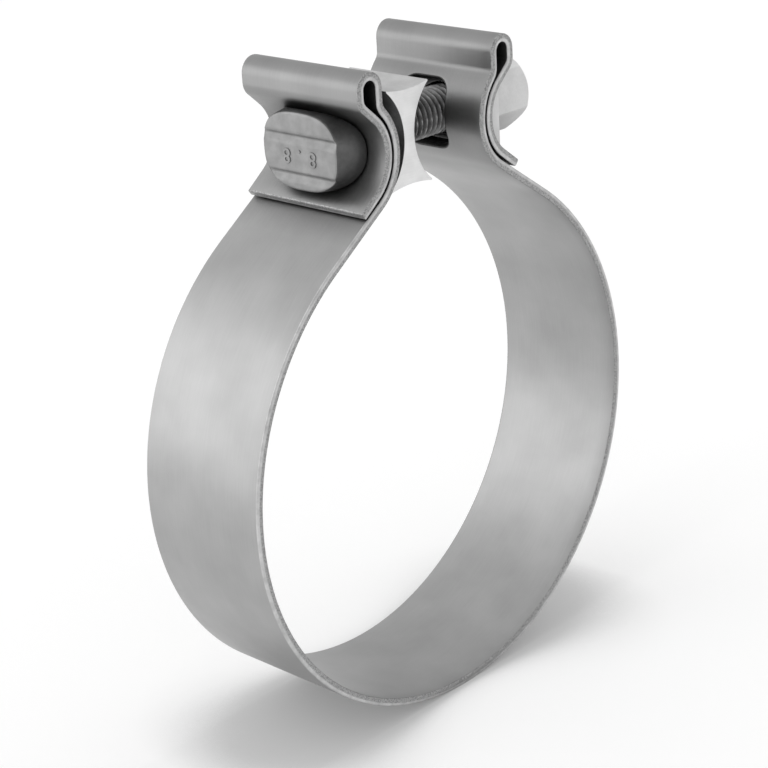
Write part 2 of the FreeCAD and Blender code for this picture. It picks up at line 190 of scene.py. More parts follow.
@dataclass(frozen=True)
class Finish:
    """Metal surface: two close tones, how rough it is, and its grain.

    Attributes:
        name: Name of the material.
        dark: Hex colour of the darker patches.
        light: Hex colour of the lighter patches.
        roughness: Mean roughness of the surface.
        spread: How far the grain moves the roughness either way.
        patch_mm: Size of the soft tone patches.
        grain_mm: Size of the grain along x, y and z. Grit finer than about 0.3 mm is drawn at
            that size, so that it shows.
        relief_mm: Height of the grain.
        metallic: Share of metal in the shader.
        painted_shade: Painted shade: how much darker the colour is made deep in a fold or gap.
        painted_shade_mm: How near another surface has to be for a fold or gap to get that painted
            shade.
    """

    name: str
    dark: str
    light: str
    roughness: float
    spread: float
    patch_mm: float
    grain_mm: tuple[float, float, float]
    relief_mm: float
    metallic: float = 1.0
    painted_shade: float = 0.5
    painted_shade_mm: float = 6.0

    def place(self, tree: bpy.types.NodeTree) -> bpy.types.NodeSocket:
        """Coordinates, in metres, that the patches and the grain follow."""
        return add_node(tree, "ShaderNodeTexCoord").outputs["Object"]

    def grain(self, tree: bpy.types.NodeTree) -> bpy.types.NodeSocket:
        """Fine noise that the roughness and the relief share.

        Args:
            tree: Node tree of the material.

        Returns:
            Socket of the noise.
        """
        scale = tuple(per_mm(size) for size in self.grain_mm)
        stretched = add_node(
            tree, "ShaderNodeMapping", Vector=self.place(tree), Scale=scale
        )
        noise = add_node(
            tree,
            "ShaderNodeTexNoise",
            Vector=stretched.outputs["Vector"],
            Scale=1.0,
            Detail=4.0,
            Roughness=0.6,
        )
        return noise.outputs["Fac"]

    def tone(
        self, tree: bpy.types.NodeTree, grain: bpy.types.NodeSocket
    ) -> bpy.types.NodeSocket:
        """Base colour: soft patches between the two tones, with a little of the grain.

        Args:
            tree: Node tree of the material.
            grain: Socket of the grain's noise.

        Returns:
            Socket of the colour.
        """
        patches = add_node(
            tree,
            "ShaderNodeTexNoise",
            Vector=self.place(tree),
            Scale=per_mm(self.patch_mm),
            Detail=3.0,
        )
        mixed = add_node(
            tree,
            "ShaderNodeMix",
            {"data_type": "FLOAT"},
            in0=GRAIN_SHARE,
            in2=patches.outputs["Fac"],
            in3=grain,
        )
        tones = add_node(
            tree,
            "ShaderNodeValToRGB",
            stops=list(zip(TONE_STOPS, (self.dark, self.light))),
            in0=mixed.outputs[0],
        )
        return tones.outputs["Color"]

    def with_painted_shade(
        self, tree: bpy.types.NodeTree, colour: bpy.types.NodeSocket
    ) -> bpy.types.NodeSocket:
        """Base colour with painted shade: darker in folds and gaps, where less light falls.

        Args:
            tree: Node tree of the material.
            colour: Socket of the colour to darken.

        Returns:
            Socket of the colour.
        """
        openness = add_node(
            tree,
            "ShaderNodeAmbientOcclusion",
            {"samples": PAINTED_SHADE_SAMPLES},
            Distance=self.painted_shade_mm * MM,
        )
        share = add_node(
            tree,
            "ShaderNodeMapRange",
            in0=openness.outputs["AO"],
            in1=PAINTED_SHADE_OPENNESS[0],
            in2=PAINTED_SHADE_OPENNESS[1],
            in3=1 - self.painted_shade,
            in4=1.0,
        )
        mixed = add_node(
            tree,
            "ShaderNodeMix",
            {"data_type": "RGBA", "blend_type": "MULTIPLY"},
            in0=1.0,
            in6=colour,
            in7=share.outputs[0],
        )
        return mixed.outputs[2]

    def material(self) -> bpy.types.Material:
        """Build the node material.

        Returns:
            The new material.
        """
        material, tree = new_material(self.name)
        grain = self.grain(tree)
        rough = add_node(
            tree,
            "ShaderNodeMapRange",
            in0=grain,
            in1=GRAIN_RANGE[0],
            in2=GRAIN_RANGE[1],
            in3=self.roughness - self.spread,
            in4=self.roughness + self.spread,
        )
        relief = add_node(
            tree,
            "ShaderNodeBump",
            Height=grain,
            Strength=1.0,
            Distance=self.relief_mm * MM,
        )
        shader = add_node(
            tree,
            "ShaderNodeBsdfPrincipled",
            Base_Color=self.with_painted_shade(tree, self.tone(tree, grain)),
            Metallic=self.metallic,
            Roughness=rough.outputs[0],
            Normal=relief.outputs["Normal"],
        )
        add_node(tree, "ShaderNodeOutputMaterial", Surface=shader.outputs[0])
        return material


@dataclass(frozen=True)
class RolledStainless(Finish):
    """Cold-rolled stainless strip in its mill finish: satin, with faint lines along the strip.

    Attributes:
        folded: Hex tint of painted shade that darkens the folded lugs.
        fold_start_mm: Where that painted shade starts, from the ring's bottom.
        fold_end_mm: Where it has faded out again, towards the end of the flap.
        fold_blend_mm: Length over which the tint comes in and goes out.
    """

    # Painted shade: the folded lugs get a darker tint.
    folded: str = "E0E0E0"
    fold_start_mm: float = 146.0
    fold_end_mm: float = 219.0
    fold_blend_mm: float = 8.0

    def place(self, tree: bpy.types.NodeTree) -> bpy.types.NodeSocket:
        """Coordinates along and across the strip, so that the lines follow its folds."""
        return add_node(tree, "ShaderNodeUVMap", {"uv_map": COORDS}).outputs["UV"]

    def tone(
        self, tree: bpy.types.NodeTree, grain: bpy.types.NodeSocket
    ) -> bpy.types.NodeSocket:
        """Base colour: the two tones, darkened by painted shade on the folded lugs.

        Args:
            tree: Node tree of the material.
            grain: Socket of the grain's noise.

        Returns:
            Socket of the colour.
        """
        along = add_node(tree, "ShaderNodeSeparateXYZ", Vector=self.place(tree))
        distance = add_node(
            tree, "ShaderNodeMath", {"operation": "ABSOLUTE"}, in0=along.outputs["X"]
        )
        ends = [
            add_node(
                tree,
                "ShaderNodeMapRange",
                in0=distance.outputs[0],
                in1=place * MM,
                in2=(place + direction * self.fold_blend_mm) * MM,
            ).outputs[0]
            for place, direction in ((self.fold_start_mm, 1), (self.fold_end_mm, -1))
        ]
        share = add_node(
            tree, "ShaderNodeMath", {"operation": "MINIMUM"}, in0=ends[0], in1=ends[1]
        )
        mixed = add_node(
            tree,
            "ShaderNodeMix",
            {"data_type": "RGBA", "blend_type": "MULTIPLY"},
            in0=share.outputs[0],
            in6=super().tone(tree, grain),
            in7=linear(self.folded),
        )
        return mixed.outputs[2]


@dataclass(frozen=True)
class ShearedEdge(Finish):
    """Slit edge of the strip: a smooth cut band beside a rough, darker torn one.

    Attributes:
        torn: Hex colour of the specks in the torn band.
        cut_share: Share of the sheet's thickness that the blade cut before it tore.
        border: Half-width of the change between the bands, as a share of the thickness.
    """

    torn: str = "848484"
    cut_share: float = 0.42
    border: float = 0.08

    def tone(
        self, tree: bpy.types.NodeTree, grain: bpy.types.NodeSocket
    ) -> bpy.types.NodeSocket:
        """Base colour: the cut band keeps the two tones, the torn band is speckled.

        Args:
            tree: Node tree of the material.
            grain: Socket of the grain's noise.

        Returns:
            Socket of the colour.
        """
        cut = super().tone(tree, grain)
        torn = add_node(
            tree,
            "ShaderNodeValToRGB",
            stops=list(zip(TORN_STOPS, (self.torn, self.dark))),
            in0=grain,
        ).outputs["Color"]
        depth = add_node(
            tree, "ShaderNodeAttribute", {"attribute_name": DEPTH}
        ).outputs["Fac"]
        split = add_node(
            tree,
            "ShaderNodeMapRange",
            in0=depth,
            in1=1 - self.cut_share - self.border,
            in2=1 - self.cut_share + self.border,
        )
        mixed = add_node(
            tree,
            "ShaderNodeMix",
            {"data_type": "RGBA"},
            in0=split.outputs[0],
            in6=torn,
            in7=cut,
        )
        return mixed.outputs[2]


# Mill finish: even satin grey, with wide soft highlights and faint lines along the strip.
STAINLESS = RolledStainless(
    name="rolled_stainless",
    dark="A2A2A2",
    light="AEAEAE",
    roughness=0.42,
    spread=0.03,
    patch_mm=14.0,
    grain_mm=(9.0, 0.35, 1.0),
    relief_mm=0.001,
    painted_shade=0.55,
    painted_shade_mm=14.0,
)
# Slit edge: fine grey specks where the sheet tore, a paler smooth line where it was cut.
EDGE = ShearedEdge(
    name="sheared_stainless",
    dark="B4B4B4",
    light="D2D2D2",
    roughness=0.5,
    spread=0.1,
    patch_mm=2.0,
    grain_mm=(0.28, 0.28, 0.28),
    relief_mm=0.01,
    painted_shade=0.3,
    painted_shade_mm=3.0,
)
# Wall of a punched slot: dark and dull, since little light reaches it.
PUNCHED = ShearedEdge(
    name="punched_stainless",
    dark="5A5A5A",
    light="787878",
    roughness=0.5,
    spread=0.1,
    patch_mm=2.0,
    grain_mm=(0.28, 0.28, 0.28),
    relief_mm=0.01,
    painted_shade=0.7,
    painted_shade_mm=5.0,
    torn="444444",
)
# Face struck by the forging die: matt mid grey, faintly pitted.
STRUCK = Finish(
    name="struck_steel_face",
    dark="8C8C8C",
    light="A0A0A0",
    roughness=0.55,
    spread=0.1,
    patch_mm=3.0,
    grain_mm=(0.3, 0.3, 0.3),
    relief_mm=0.03,
)
# Coated forged steel: the darkest metal of the clamp, dull and slightly rough.
FORGED = Finish(
    name="forged_coated_steel",
    dark="5A5A5A",
    light="6E6E6E",
    roughness=0.5,
    spread=0.08,
    patch_mm=3.0,
    grain_mm=(0.35, 0.35, 0.35),
    relief_mm=0.02,
    painted_shade=0.1,
)
# Rolled thread: roots darkened with painted shade between brighter crests.
THREAD = Finish(
    name="rolled_thread_steel",
    dark="787878",
    light="A0A0A0",
    roughness=0.42,
    spread=0.08,
    patch_mm=1.5,
    grain_mm=(0.3, 0.3, 0.3),
    relief_mm=0.01,
    painted_shade=0.85,
    painted_shade_mm=1.2,
)
# Pale zinc plating: soft and nearly white, less mirror-like than bare metal.
PLATED = Finish(
    name="pale_plated_steel",
    dark="DADADA",
    light="E6E6E6",
    roughness=0.5,
    spread=0.05,
    patch_mm=4.0,
    grain_mm=(0.5, 0.5, 0.5),
    relief_mm=0.004,
    metallic=0.45,
    painted_shade=0.6,
    painted_shade_mm=24.0,
)
# Extruded aluminium: light grey, with faint die lines along the pipe.
EXTRUDED = Finish(
    name="extruded_aluminium",
    dark="C2C2C2",
    light="D6D6D6",
    roughness=0.42,
    spread=0.08,
    patch_mm=5.0,
    grain_mm=(0.2, 12.0, 0.2),
    relief_mm=0.02,
    painted_shade=0.85,
    painted_shade_mm=14.0,
)
# Sawn aluminium end: the brightest surface, with fine saw lines.
SAWN = Finish(
    name="sawn_aluminium",
    dark="E2E2E2",
    light="EEEEEE",
    roughness=0.5,
    spread=0.05,
    patch_mm=4.0,
    grain_mm=(2.5, 0.3, 0.3),
    relief_mm=0.006,
    metallic=0.75,
)


class Draft:
    """Points in millimetres and faces, collected before they become one mesh."""

    def __init__(self) -> None:
        """Start without points and faces."""
        self.points: list[tuple[float, float, float]] = []
        self.coords: list[tuple[float, float, float]] = []
        self.faces: list[tuple[int, ...]] = []
        self.finishes: list[int] = []

    def point(
        self,
        x: float,
        y: float,
        z: float,
        coords: tuple[float, float, float] = (0.0, 0.0, 0.0),
    ) -> int:
        """Add a point and return its number.

        Args:
            x: Place along the bolt.
            y: Place along the pipe.
            z: Height.
            coords: Place along, across and into the strip, for its finish.

        Returns:
            The point's number.
        """
        self.points.append((x, y, z))
        self.coords.append(coords)
        return len(self.points) - 1

    def face(self, *corners: int, finish: int = 0) -> None:
        """Add a face between numbered points, with the number of its finish."""
        self.faces.append(corners)
        self.finishes.append(finish)

    def bridge(
        self, first: Sequence[int], second: Sequence[int], closed: bool = True, finish: int = 0
    ) -> None:
        """Join two rows of points with a band of quads.

        Args:
            first: Numbers of the points of one row.
            second: As many numbers, of the other row.
            closed: Whether the rows close on themselves.
            finish: Number of the faces' finish.
        """
        count = len(first)
        for i in range(count if closed else count - 1):
            j = (i + 1) % count
            self.face(first[i], first[j], second[j], second[i], finish=finish)

    def build(self, name: str, finishes: Sequence[bpy.types.Material]) -> bpy.types.Object:
        """Make the object, in metres, with outward normals and smooth shading.

        Args:
            name: Name of the object.
            finishes: Materials, by the numbers that the faces hold.

        Returns:
            The new object, linked to the scene.
        """
        mesh = bpy.data.meshes.new(name)
        mesh.from_pydata([Vector(p) * MM for p in self.points], [], self.faces)
        for material in finishes:
            mesh.materials.append(material)
        mesh.polygons.foreach_set("material_index", self.finishes)
        layer = mesh.uv_layers.new(name=COORDS)
        for loop in mesh.loops:
            along, across, _ = self.coords[loop.vertex_index]
            layer.data[loop.index].uv = (along * MM, across * MM)
        depth = mesh.attributes.new(DEPTH, "FLOAT", "POINT")
        depth.data.foreach_set("value", [c[2] for c in self.coords])
        obj = bpy.data.objects.new(name, mesh)
        bpy.context.scene.collection.objects.link(obj)
        tidy_normals(obj)
        return obj


def tidy_normals(obj: bpy.types.Object) -> None:
    """Turn an object's normals outward and shade it smooth up to the sharp angle.

    Args:
        obj: Object to change.
    """
    mesh = obj.data
    work = bmesh.new()
    work.from_mesh(mesh)
    bmesh.ops.recalc_face_normals(work, faces=work.faces)
    work.to_mesh(mesh)
    work.free()
    mesh.shade_smooth()
    mesh.set_sharp_from_angle(angle=SHARP_ANGLE)


def apply_modifiers(obj: bpy.types.Object) -> None:
    """Replace an object's mesh by the result of its modifiers.

    Args:
        obj: Object to change.
    """
    graph = bpy.context.evaluated_depsgraph_get()
    result = bpy.data.meshes.new_from_object(obj.evaluated_get(graph))
    obj.modifiers.clear()
    obj.data = result


def round_edges(obj: bpy.types.Object, width_mm: float, least_angle: float = 28.0) -> None:
    """Round an object's sharp edges.

    Args:
        obj: Object to change.
        width_mm: Width of the rounding.
        least_angle: Smallest angle between two faces, in degrees, that is rounded.
    """
    bevel = obj.modifiers.new("edges", "BEVEL")
    bevel.width = width_mm * MM
    bevel.segments = ROUNDING_STEPS
    bevel.limit_method = "ANGLE"
    bevel.angle_limit = math.radians(least_angle)
    bevel.use_clamp_overlap = True
    apply_modifiers(obj)
    tidy_normals(obj)


def drill(obj: bpy.types.Object, radius: float, start: float, end: float, z: float) -> None:
    """Cut a round hole parallel to the bolt, with sizes in millimetres.

    Args:
        obj: Object to cut.
        radius: Radius of the hole.
        start: Where the holed piece starts along the bolt.
        end: Where that piece ends.
        z: Height of its axis.
    """
    tool = Draft()
    rings = [
        [
            tool.point(x, radius * math.cos(a), z + radius * math.sin(a))
            for a in turn(DRILL_SIDES)
        ]
        for x in (start - DRILL_MARGIN, end + DRILL_MARGIN)
    ]
    tool.bridge(rings[0], rings[1])
    tool.face(*rings[0])
    tool.face(*rings[1])
    cutter = tool.build("drill", [])
    cut = obj.modifiers.new("hole", "BOOLEAN")
    cut.operation = "DIFFERENCE"
    cut.solver = "EXACT"
    cut.object = cutter
    apply_modifiers(obj)
    bpy.data.objects.remove(cutter)


def turn(count: int, start: float = 0.0) -> list[float]:
    """Angles, in radians, of count even steps round a full turn."""
    return [start + 2 * math.pi * i / count for i in range(count)]


def bar_along_pipe(
    outline: Sequence[tuple[float, float]], length: float, name: str, side: Finish, end: Finish
) -> bpy.types.Object:
    """Extrude an outline in the plane of the ring to a bar parallel to the pipe.

    Args:
        outline: Points (x, z) of the bar's section.
        length: Length of the bar, centred on the strip's width.
        name: Name of the object.
        side: Finish of the long faces.
        end: Finish of the end faces.

    Returns:
        The new object.
    """
    draft = Draft()
    ends = [
        [draft.point(x, y, z) for x, z in outline] for y in (-length / 2, length / 2)
    ]
    draft.bridge(ends[0], ends[1])
    draft.face(*ends[0], finish=1)
    draft.face(*ends[1], finish=1)
    return draft.build(name, [side.material(), end.material()])


@dataclass(frozen=True)
class Run:
    """Stretch of the strip's bore face: straight, or a bend that turns by an angle.

    Attributes:
        length: Length along the face.
        angle: Angle that the face turns by, in radians, left turns positive.
    """

    length: float
    angle: float = 0.0

    @classmethod
    def bend(cls, radius: float, angle: float) -> "Run":
        """Run of a given radius that turns by an angle."""
        return cls(radius * abs(angle), angle)


@dataclass
class Lug:
    """Sizes of the strip and its folded lugs, and the places worked out from them.

    Attributes:
        bore_radius: Radius of the open ring inside.
        width: Width of the strip.
        sheet: Thickness of the strip.
        gap: Gap between the bulges of the two lugs when the clamp is open.
        seat_radius: Radius of the seat of the head or the washer.
        leg_gap: Gap between the two legs of a lug.
        ramp: Straight stretch between the ring and the bulge.
        neck_radius: Radius of the bore face in the bend above the bulge.
        loop_setback: How far the wall of the loop stands back from the bulge.
        loop_wall: Height of that wall.
        loop_radius: Radius of the bore face round the loop.
        shoulder: Straight stretch between the loop and the seat.
        flap_slope: Slope of the flap, in radians.
        flap: Straight stretch at the end of the flap.
    """

    bore_radius: float = 55.4
    width: float = 31.75
    sheet: float = 1.7
    gap: float = 23.8
    seat_radius: float = 8.8
    leg_gap: float = 0.6
    ramp: float = 16.8
    neck_radius: float = 2.15
    loop_setback: float = 4.2
    loop_wall: float = 2.96
    loop_radius: float = 3.4
    shoulder: float = 3.87
    flap_slope: float = math.radians(37)
    flap: float = 5.2

    @property
    def bulge_radius(self) -> float:
        """Radius of the lug's face towards the block."""
        return self.seat_radius + 2 * self.sheet + self.leg_gap

    @property
    def seat_x(self) -> float:
        """Seat centre, from the middle."""
        return self.gap / 2 + self.bulge_radius

    @property
    def bolt_z(self) -> float:
        """Height of the bolt over the ring's centre."""
        reach = self.bore_radius + self.bulge_radius
        return math.sqrt(reach**2 + self.ramp**2 - self.seat_x**2)

    def runs(self) -> list[Run]:
        """Runs of the right half, from the ring's bottom to the end of the flap.

        Returns:
            The runs, in order.
        """
        bulge = self.bulge_radius
        wall_x = self.gap / 2 + self.loop_setback
        loop_x = wall_x + self.loop_radius
        neck_x = wall_x - self.neck_radius
        neck_rise = math.sqrt((bulge + self.neck_radius) ** 2 - (self.seat_x - neck_x) ** 2)
        loop_rise = neck_rise + self.loop_wall
        under = self.loop_radius + self.seat_radius
        offset = self.seat_x - loop_x
        shoulder_rise = math.sqrt(under**2 + self.shoulder**2 - offset**2)
        reach = math.hypot(self.seat_x, self.bolt_z)
        ramp_angle = math.atan2(self.bolt_z, self.seat_x) - math.acos(
            (self.bore_radius + bulge) / reach
        )
        neck_angle = math.atan2(neck_rise, neck_x - self.seat_x)
        shoulder_angle = math.atan2(-shoulder_rise, offset) + math.acos(
            under / math.hypot(offset, shoulder_rise)
        )
        seat_sweep = math.pi / 2 - self.flap_slope - shoulder_angle
        return [
            Run.bend(self.bore_radius, math.pi / 2 + ramp_angle),
            Run(self.ramp),
            Run.bend(bulge, neck_angle - ramp_angle - math.pi),
            Run.bend(self.neck_radius, math.pi - neck_angle),
            Run(self.loop_wall),
            Run.bend(self.loop_radius, -math.pi),
            Run(loop_rise - shoulder_rise),
            Run.bend(self.loop_radius, shoulder_angle),
            Run(self.shoulder),
            Run.bend(self.seat_radius, seat_sweep),
            Run(self.flap),
        ]


class Path:
    """Bore face of the right half of the strip as a walk of straight runs and bends.

    Attributes:
        STEP: Largest turn from one row of points to the next in a lug.
        RING_STEP: The same in the ring.
        BULGE: Number of the run that is the bulge.
        SEAT: Number of the run that is the seat.
    """

    STEP = math.radians(4)
    RING_STEP = math.radians(1.5)
    BULGE = 2
    SEAT = 9

    def __init__(self, lug: Lug) -> None:
        """Lay the runs of a lug's sizes end to end.

        Args:
            lug: Sizes of the strip and its lugs.
        """
        self.runs = lug.runs()
        self.starts: list[tuple[float, float, float, float]] = []
        at, x, z, heading = 0.0, 0.0, -lug.bore_radius, 0.0
        for run in self.runs:
            self.starts.append((at, x, z, heading))
            x, z, heading = self.walk(run, (x, z, heading), run.length)
            at += run.length
        self.length = at

    @staticmethod
    def walk(
        run: Run, start: tuple[float, float, float], distance: float
    ) -> tuple[float, float, float]:
        """Follow a run from its start.

        Args:
            run: Run to follow.
            start: Place (x, z) and heading at its start.
            distance: How far to go.

        Returns:
            Place and heading reached.
        """
        x, z, heading = start
        if run.angle == 0:
            return (x + distance * math.cos(heading), z + distance * math.sin(heading), heading)
        radius = run.length / run.angle
        centre = (x - radius * math.sin(heading), z + radius * math.cos(heading))
        reached = heading + distance / radius
        return (
            centre[0] + radius * math.sin(reached),
            centre[1] - radius * math.cos(reached),
            reached,
        )

    def place(self, along: float, depth: float) -> tuple[float, float]:
        """Place (x, z) of a point of the strip.

        Args:
            along: Distance from the ring's bottom, negative on the left half.
            depth: Distance into the strip from its bore face.

        Returns:
            The point's x and z.
        """
        distance = abs(along)
        number = 0
        while number + 1 < len(self.starts) and self.starts[number + 1][0] < distance:
            number += 1
        at, *start = self.starts[number]
        x, z, heading = self.walk(self.runs[number], tuple(start), distance - at)
        x += depth * math.sin(heading)
        z -= depth * math.cos(heading)
        return (math.copysign(x, along) if along else x, z)

    def crossings(self, height: float) -> tuple[float, float]:
        """Distances along the bulge and the seat where the path crosses a height.

        Args:
            height: Height to look for.

        Returns:
            Both distances from the start.
        """
        found = []
        for number in (self.BULGE, self.SEAT):
            low = self.starts[number][0]
            high = low + self.runs[number].length
            rising = self.place(high, 0)[1] > self.place(low, 0)[1]
            for _ in range(HALVINGS):
                middle = (low + high) / 2
                if (self.place(middle, 0)[1] < height) == rising:
                    low = middle
                else:
                    high = middle
            found.append(low)
        return (found[0], found[1])

    def samples(self) -> list[float]:
        """Distances of the rows of points that the strip's mesh needs.

        Returns:
            The distances, in order.
        """
        rows = [0.0]
        for number, (run, start) in enumerate(zip(self.runs, self.starts)):
            step = self.RING_STEP if number == 0 else self.STEP
            count = max(2, math.ceil(abs(run.angle) / step))
            rows += [start[0] + run.length * (i + 1) / count for i in range(count)]
        return rows


@dataclass
class BoltSlot:
    """Slot with rounded corners, punched through a leg of a lug.

    Attributes:
        centre: Place of its middle along the strip.
        half_length: Half of its length along the strip.
        half_width: Half of its width across the strip.
        corner: Radius of its corners.
        reach: Half-length of the patch of mesh round it.
        half_patch: Half-width of that patch.
    """

    centre: float
    half_length: float = 7.9
    half_width: float = 6.1
    corner: float = 3.5
    reach: float = 10.0
    half_patch: float = 9.0

    def rim(self, along: float, across: float, growth: float) -> tuple[float, float]:
        """Point of the slot's rim on the line from its centre to a given point.

        Args:
            along: The given point along the strip.
            across: The same across the strip.
            growth: How far the rim lies outside the slot's own, as on its rounded edge.

        Returns:
            The rim's point along and across the strip.
        """
        run, rise = along - self.centre, across
        size = math.hypot(run, rise)
        run, rise = run / size, rise / size
        radius = self.corner + growth
        straight = (self.half_length - self.corner, self.half_width - self.corner)
        reach = (straight[0] + radius) / max(abs(run), TINY)
        if reach * abs(rise) > straight[1]:
            reach = (straight[1] + radius) / max(abs(rise), TINY)
            if reach * abs(run) > straight[0]:
                ahead = straight[0] * abs(run) + straight[1] * abs(rise)
                aside = straight[0] * abs(rise) - straight[1] * abs(run)
                reach = ahead + math.sqrt(radius**2 - aside**2)
        return (self.centre + run * reach, rise * reach)


@dataclass
class Strip:
    """Strip of the clamp: the ring and both lugs as one folded sheet.

    Attributes:
        lug: Sizes of the fold.
        edge: Rounding of the strip's edges.
        slot_edge: Rounding of the slots' rims.
        bend_reach: Half-length of a stretch at the ring's bottom; nothing is bent with it.
        rim_steps: Steps of each rounding.
        ring_steps: Rings of faces between a slot and the border of its patch.
        crowding: Power that draws those rings towards the border.
        patch_columns: Columns of faces between a slot's middle and its patch's border.
        row_gap: Least distance between a row of points and a patch's border.
        end_gap: The same between a row of points and the end of the strip.
    """

    lug: Lug = field(default_factory=Lug)
    edge: float = 0.3
    slot_edge: float = 0.3
    bend_reach: float = 11.0
    rim_steps: int = 3
    ring_steps: int = 4
    crowding: float = 0.8
    patch_columns: int = 9
    row_gap: float = 0.25
    end_gap: float = 1.0

    def __post_init__(self) -> None:
        """Work out the path and the slots, where it crosses the bolt's axis."""
        self.path = Path(self.lug)
        inner, outer = self.path.crossings(self.lug.bolt_z)
        self.slots = [
            BoltSlot(side.value * place) for side in Side for place in (inner, outer)
        ]

    def rows(self) -> list[float]:
        """Places along the strip of the mesh's rows, left flap to right flap.

        Returns:
            The places, in order.
        """
        last = self.path.length - self.end_gap
        half = [row for row in self.path.samples() if row < last]
        half.append(self.path.length - self.edge)
        rows = sorted({side.value * row for side in Side for row in half})
        borders = [
            slot.centre + sign * slot.reach for slot in self.slots for sign in (-1, 1)
        ]
        rows = [
            row for row in rows if all(abs(row - border) > self.row_gap for border in borders)
        ]
        return sorted(rows + borders)

    def columns(self) -> list[float]:
        """Places across the strip of the mesh's columns.

        Returns:
            The places, in order.
        """
        patch = self.slots[0].half_patch
        count = self.patch_columns
        inside = [patch * i / count for i in range(-count, count + 1)]
        edge = self.lug.width / 2 - self.edge
        outside = [edge, (edge + patch) / 2]
        return sorted([-place for place in outside] + inside + outside)

    def rim_profile(self, radius: float) -> list[tuple[float, float]]:
        """Section of an edge from the bore face to the other, as (reach, depth) pairs.

        Args:
            radius: Radius of the edge's rounding.

        Returns:
            Points of the section, in order.
        """
        corner = [
            (radius * math.sin(a), radius * (1 - math.cos(a)))
            for a in (math.pi / 2 * i / self.rim_steps for i in range(self.rim_steps + 1))
        ]
        return corner + [(reach, self.lug.sheet - depth) for reach, depth in reversed(corner)]

    def point(self, draft: Draft, along: float, across: float, depth: float) -> int:
        """Add the point of the folded strip that lies at a place of the flat one."""
        x, z = self.path.place(along, depth)
        return draft.point(x, across, z, (along, across, depth / self.lug.sheet))

    def patch(
        self,
        draft: Draft,
        slot: BoltSlot,
        border: Sequence[tuple[float, float]],
        outer: Sequence[int],
        depth: float,
    ) -> list[int]:
        """Fill the sheet between a patch's border and its slot.

        Args:
            draft: Mesh that grows.
            slot: Slot in the patch.
            border: Places of the border's points, along and across.
            outer: Numbers of the border's points.
            depth: Depth of this face of the sheet.

        Returns:
            Numbers of the points at the slot's rounded rim.
        """
        rims = [slot.rim(*place, self.slot_edge) for place in border]
        last = list(outer)
        for ring in range(1, self.ring_steps + 1):
            share = (ring / self.ring_steps) ** self.crowding
            row = [
                self.point(
                    draft,
                    start[0] + share * (end[0] - start[0]),
                    start[1] + share * (end[1] - start[1]),
                    depth,
                )
                for start, end in zip(border, rims)
            ]
            draft.bridge(last, row)
            last = row
        return last

    def build(self) -> bpy.types.Object:
        """Build the strip's mesh.

        Returns:
            The strip, from the left flap round the ring to the right flap.
        """
        draft = Draft()
        rows, columns = self.rows(), self.columns()
        patches = [self.patch_cells(slot, rows, columns) for slot in self.slots]
        faces: list[dict[tuple[int, int], int]] = []
        rims: list[list[list[int]]] = []
        for depth in (0.0, self.lug.sheet):
            grid = self.grid(draft, rows, columns, patches, depth)
            faces.append(grid)
            rims.append([])
            for slot, cells in zip(self.slots, patches):
                loop = self.loop(*cells)
                border = [(rows[i], columns[j]) for i, j in loop]
                outer = [grid[key] for key in loop]
                rims[-1].append(self.patch(draft, slot, border, outer, depth))
        for number, slot in enumerate(self.slots):
            loop = self.loop(*patches[number])
            border = [(rows[i], columns[j]) for i, j in loop]
            self.slot_wall(draft, slot, border, rims[0][number], rims[1][number])
        self.outside(draft, rows, columns, faces)
        finishes = [finish.material() for finish in (STAINLESS, EDGE, PUNCHED)]
        return draft.build("strip", finishes)

    def patch_cells(
        self, slot: BoltSlot, rows: Sequence[float], columns: Sequence[float]
    ) -> tuple[int, int, int, int]:
        """First and last row and column of a slot's patch.

        Args:
            slot: Slot in the strip.
            rows: Places of the mesh's rows along the strip.
            columns: Places of its columns across the strip.

        Returns:
            The four numbers.
        """
        bottom = rows.index(slot.centre - slot.reach)
        top = rows.index(slot.centre + slot.reach)
        left = min(range(len(columns)), key=lambda j: abs(columns[j] + slot.half_patch))
        right = min(range(len(columns)), key=lambda j: abs(columns[j] - slot.half_patch))
        return (bottom, top, left, right)

    @staticmethod
    def loop(bottom: int, top: int, left: int, right: int) -> list[tuple[int, int]]:
        """Row and column numbers round a rectangle of the grid.

        Args:
            bottom: First row.
            top: Last row.
            left: First column.
            right: Last column.

        Returns:
            Pairs of a row and a column number, in order.
        """
        return (
            [(i, left) for i in range(bottom, top)]
            + [(top, j) for j in range(left, right)]
            + [(i, right) for i in range(top, bottom, -1)]
            + [(bottom, j) for j in range(right, left, -1)]
        )

    def grid(
        self,
        draft: Draft,
        rows: Sequence[float],
        columns: Sequence[float],
        patches: Sequence[tuple[int, int, int, int]],
        depth: float,
    ) -> dict[tuple[int, int], int]:
        """Add one face of the sheet, except for the patches round the slots.

        Args:
            draft: Mesh that grows.
            rows: Places of the rows along the strip.
            columns: Places of the columns across it.
            patches: First and last row and column of each patch.
            depth: Depth of this face of the sheet.

        Returns:
            Numbers of the points by row and column.
        """

        def inside(i: float, j: float) -> bool:
            """Whether a row and column number lies within a patch."""
            return any(b < i < t and lo < j < hi for b, t, lo, hi in patches)

        points = {
            (i, j): self.point(draft, row, column, depth)
            for i, row in enumerate(rows)
            for j, column in enumerate(columns)
            if not inside(i, j)
        }
        for i in range(len(rows) - 1):
            for j in range(len(columns) - 1):
                if not inside(i + 0.5, j + 0.5):
                    corners = ((i, j), (i + 1, j), (i + 1, j + 1), (i, j + 1))
                    draft.face(*(points[key] for key in corners))
        return points

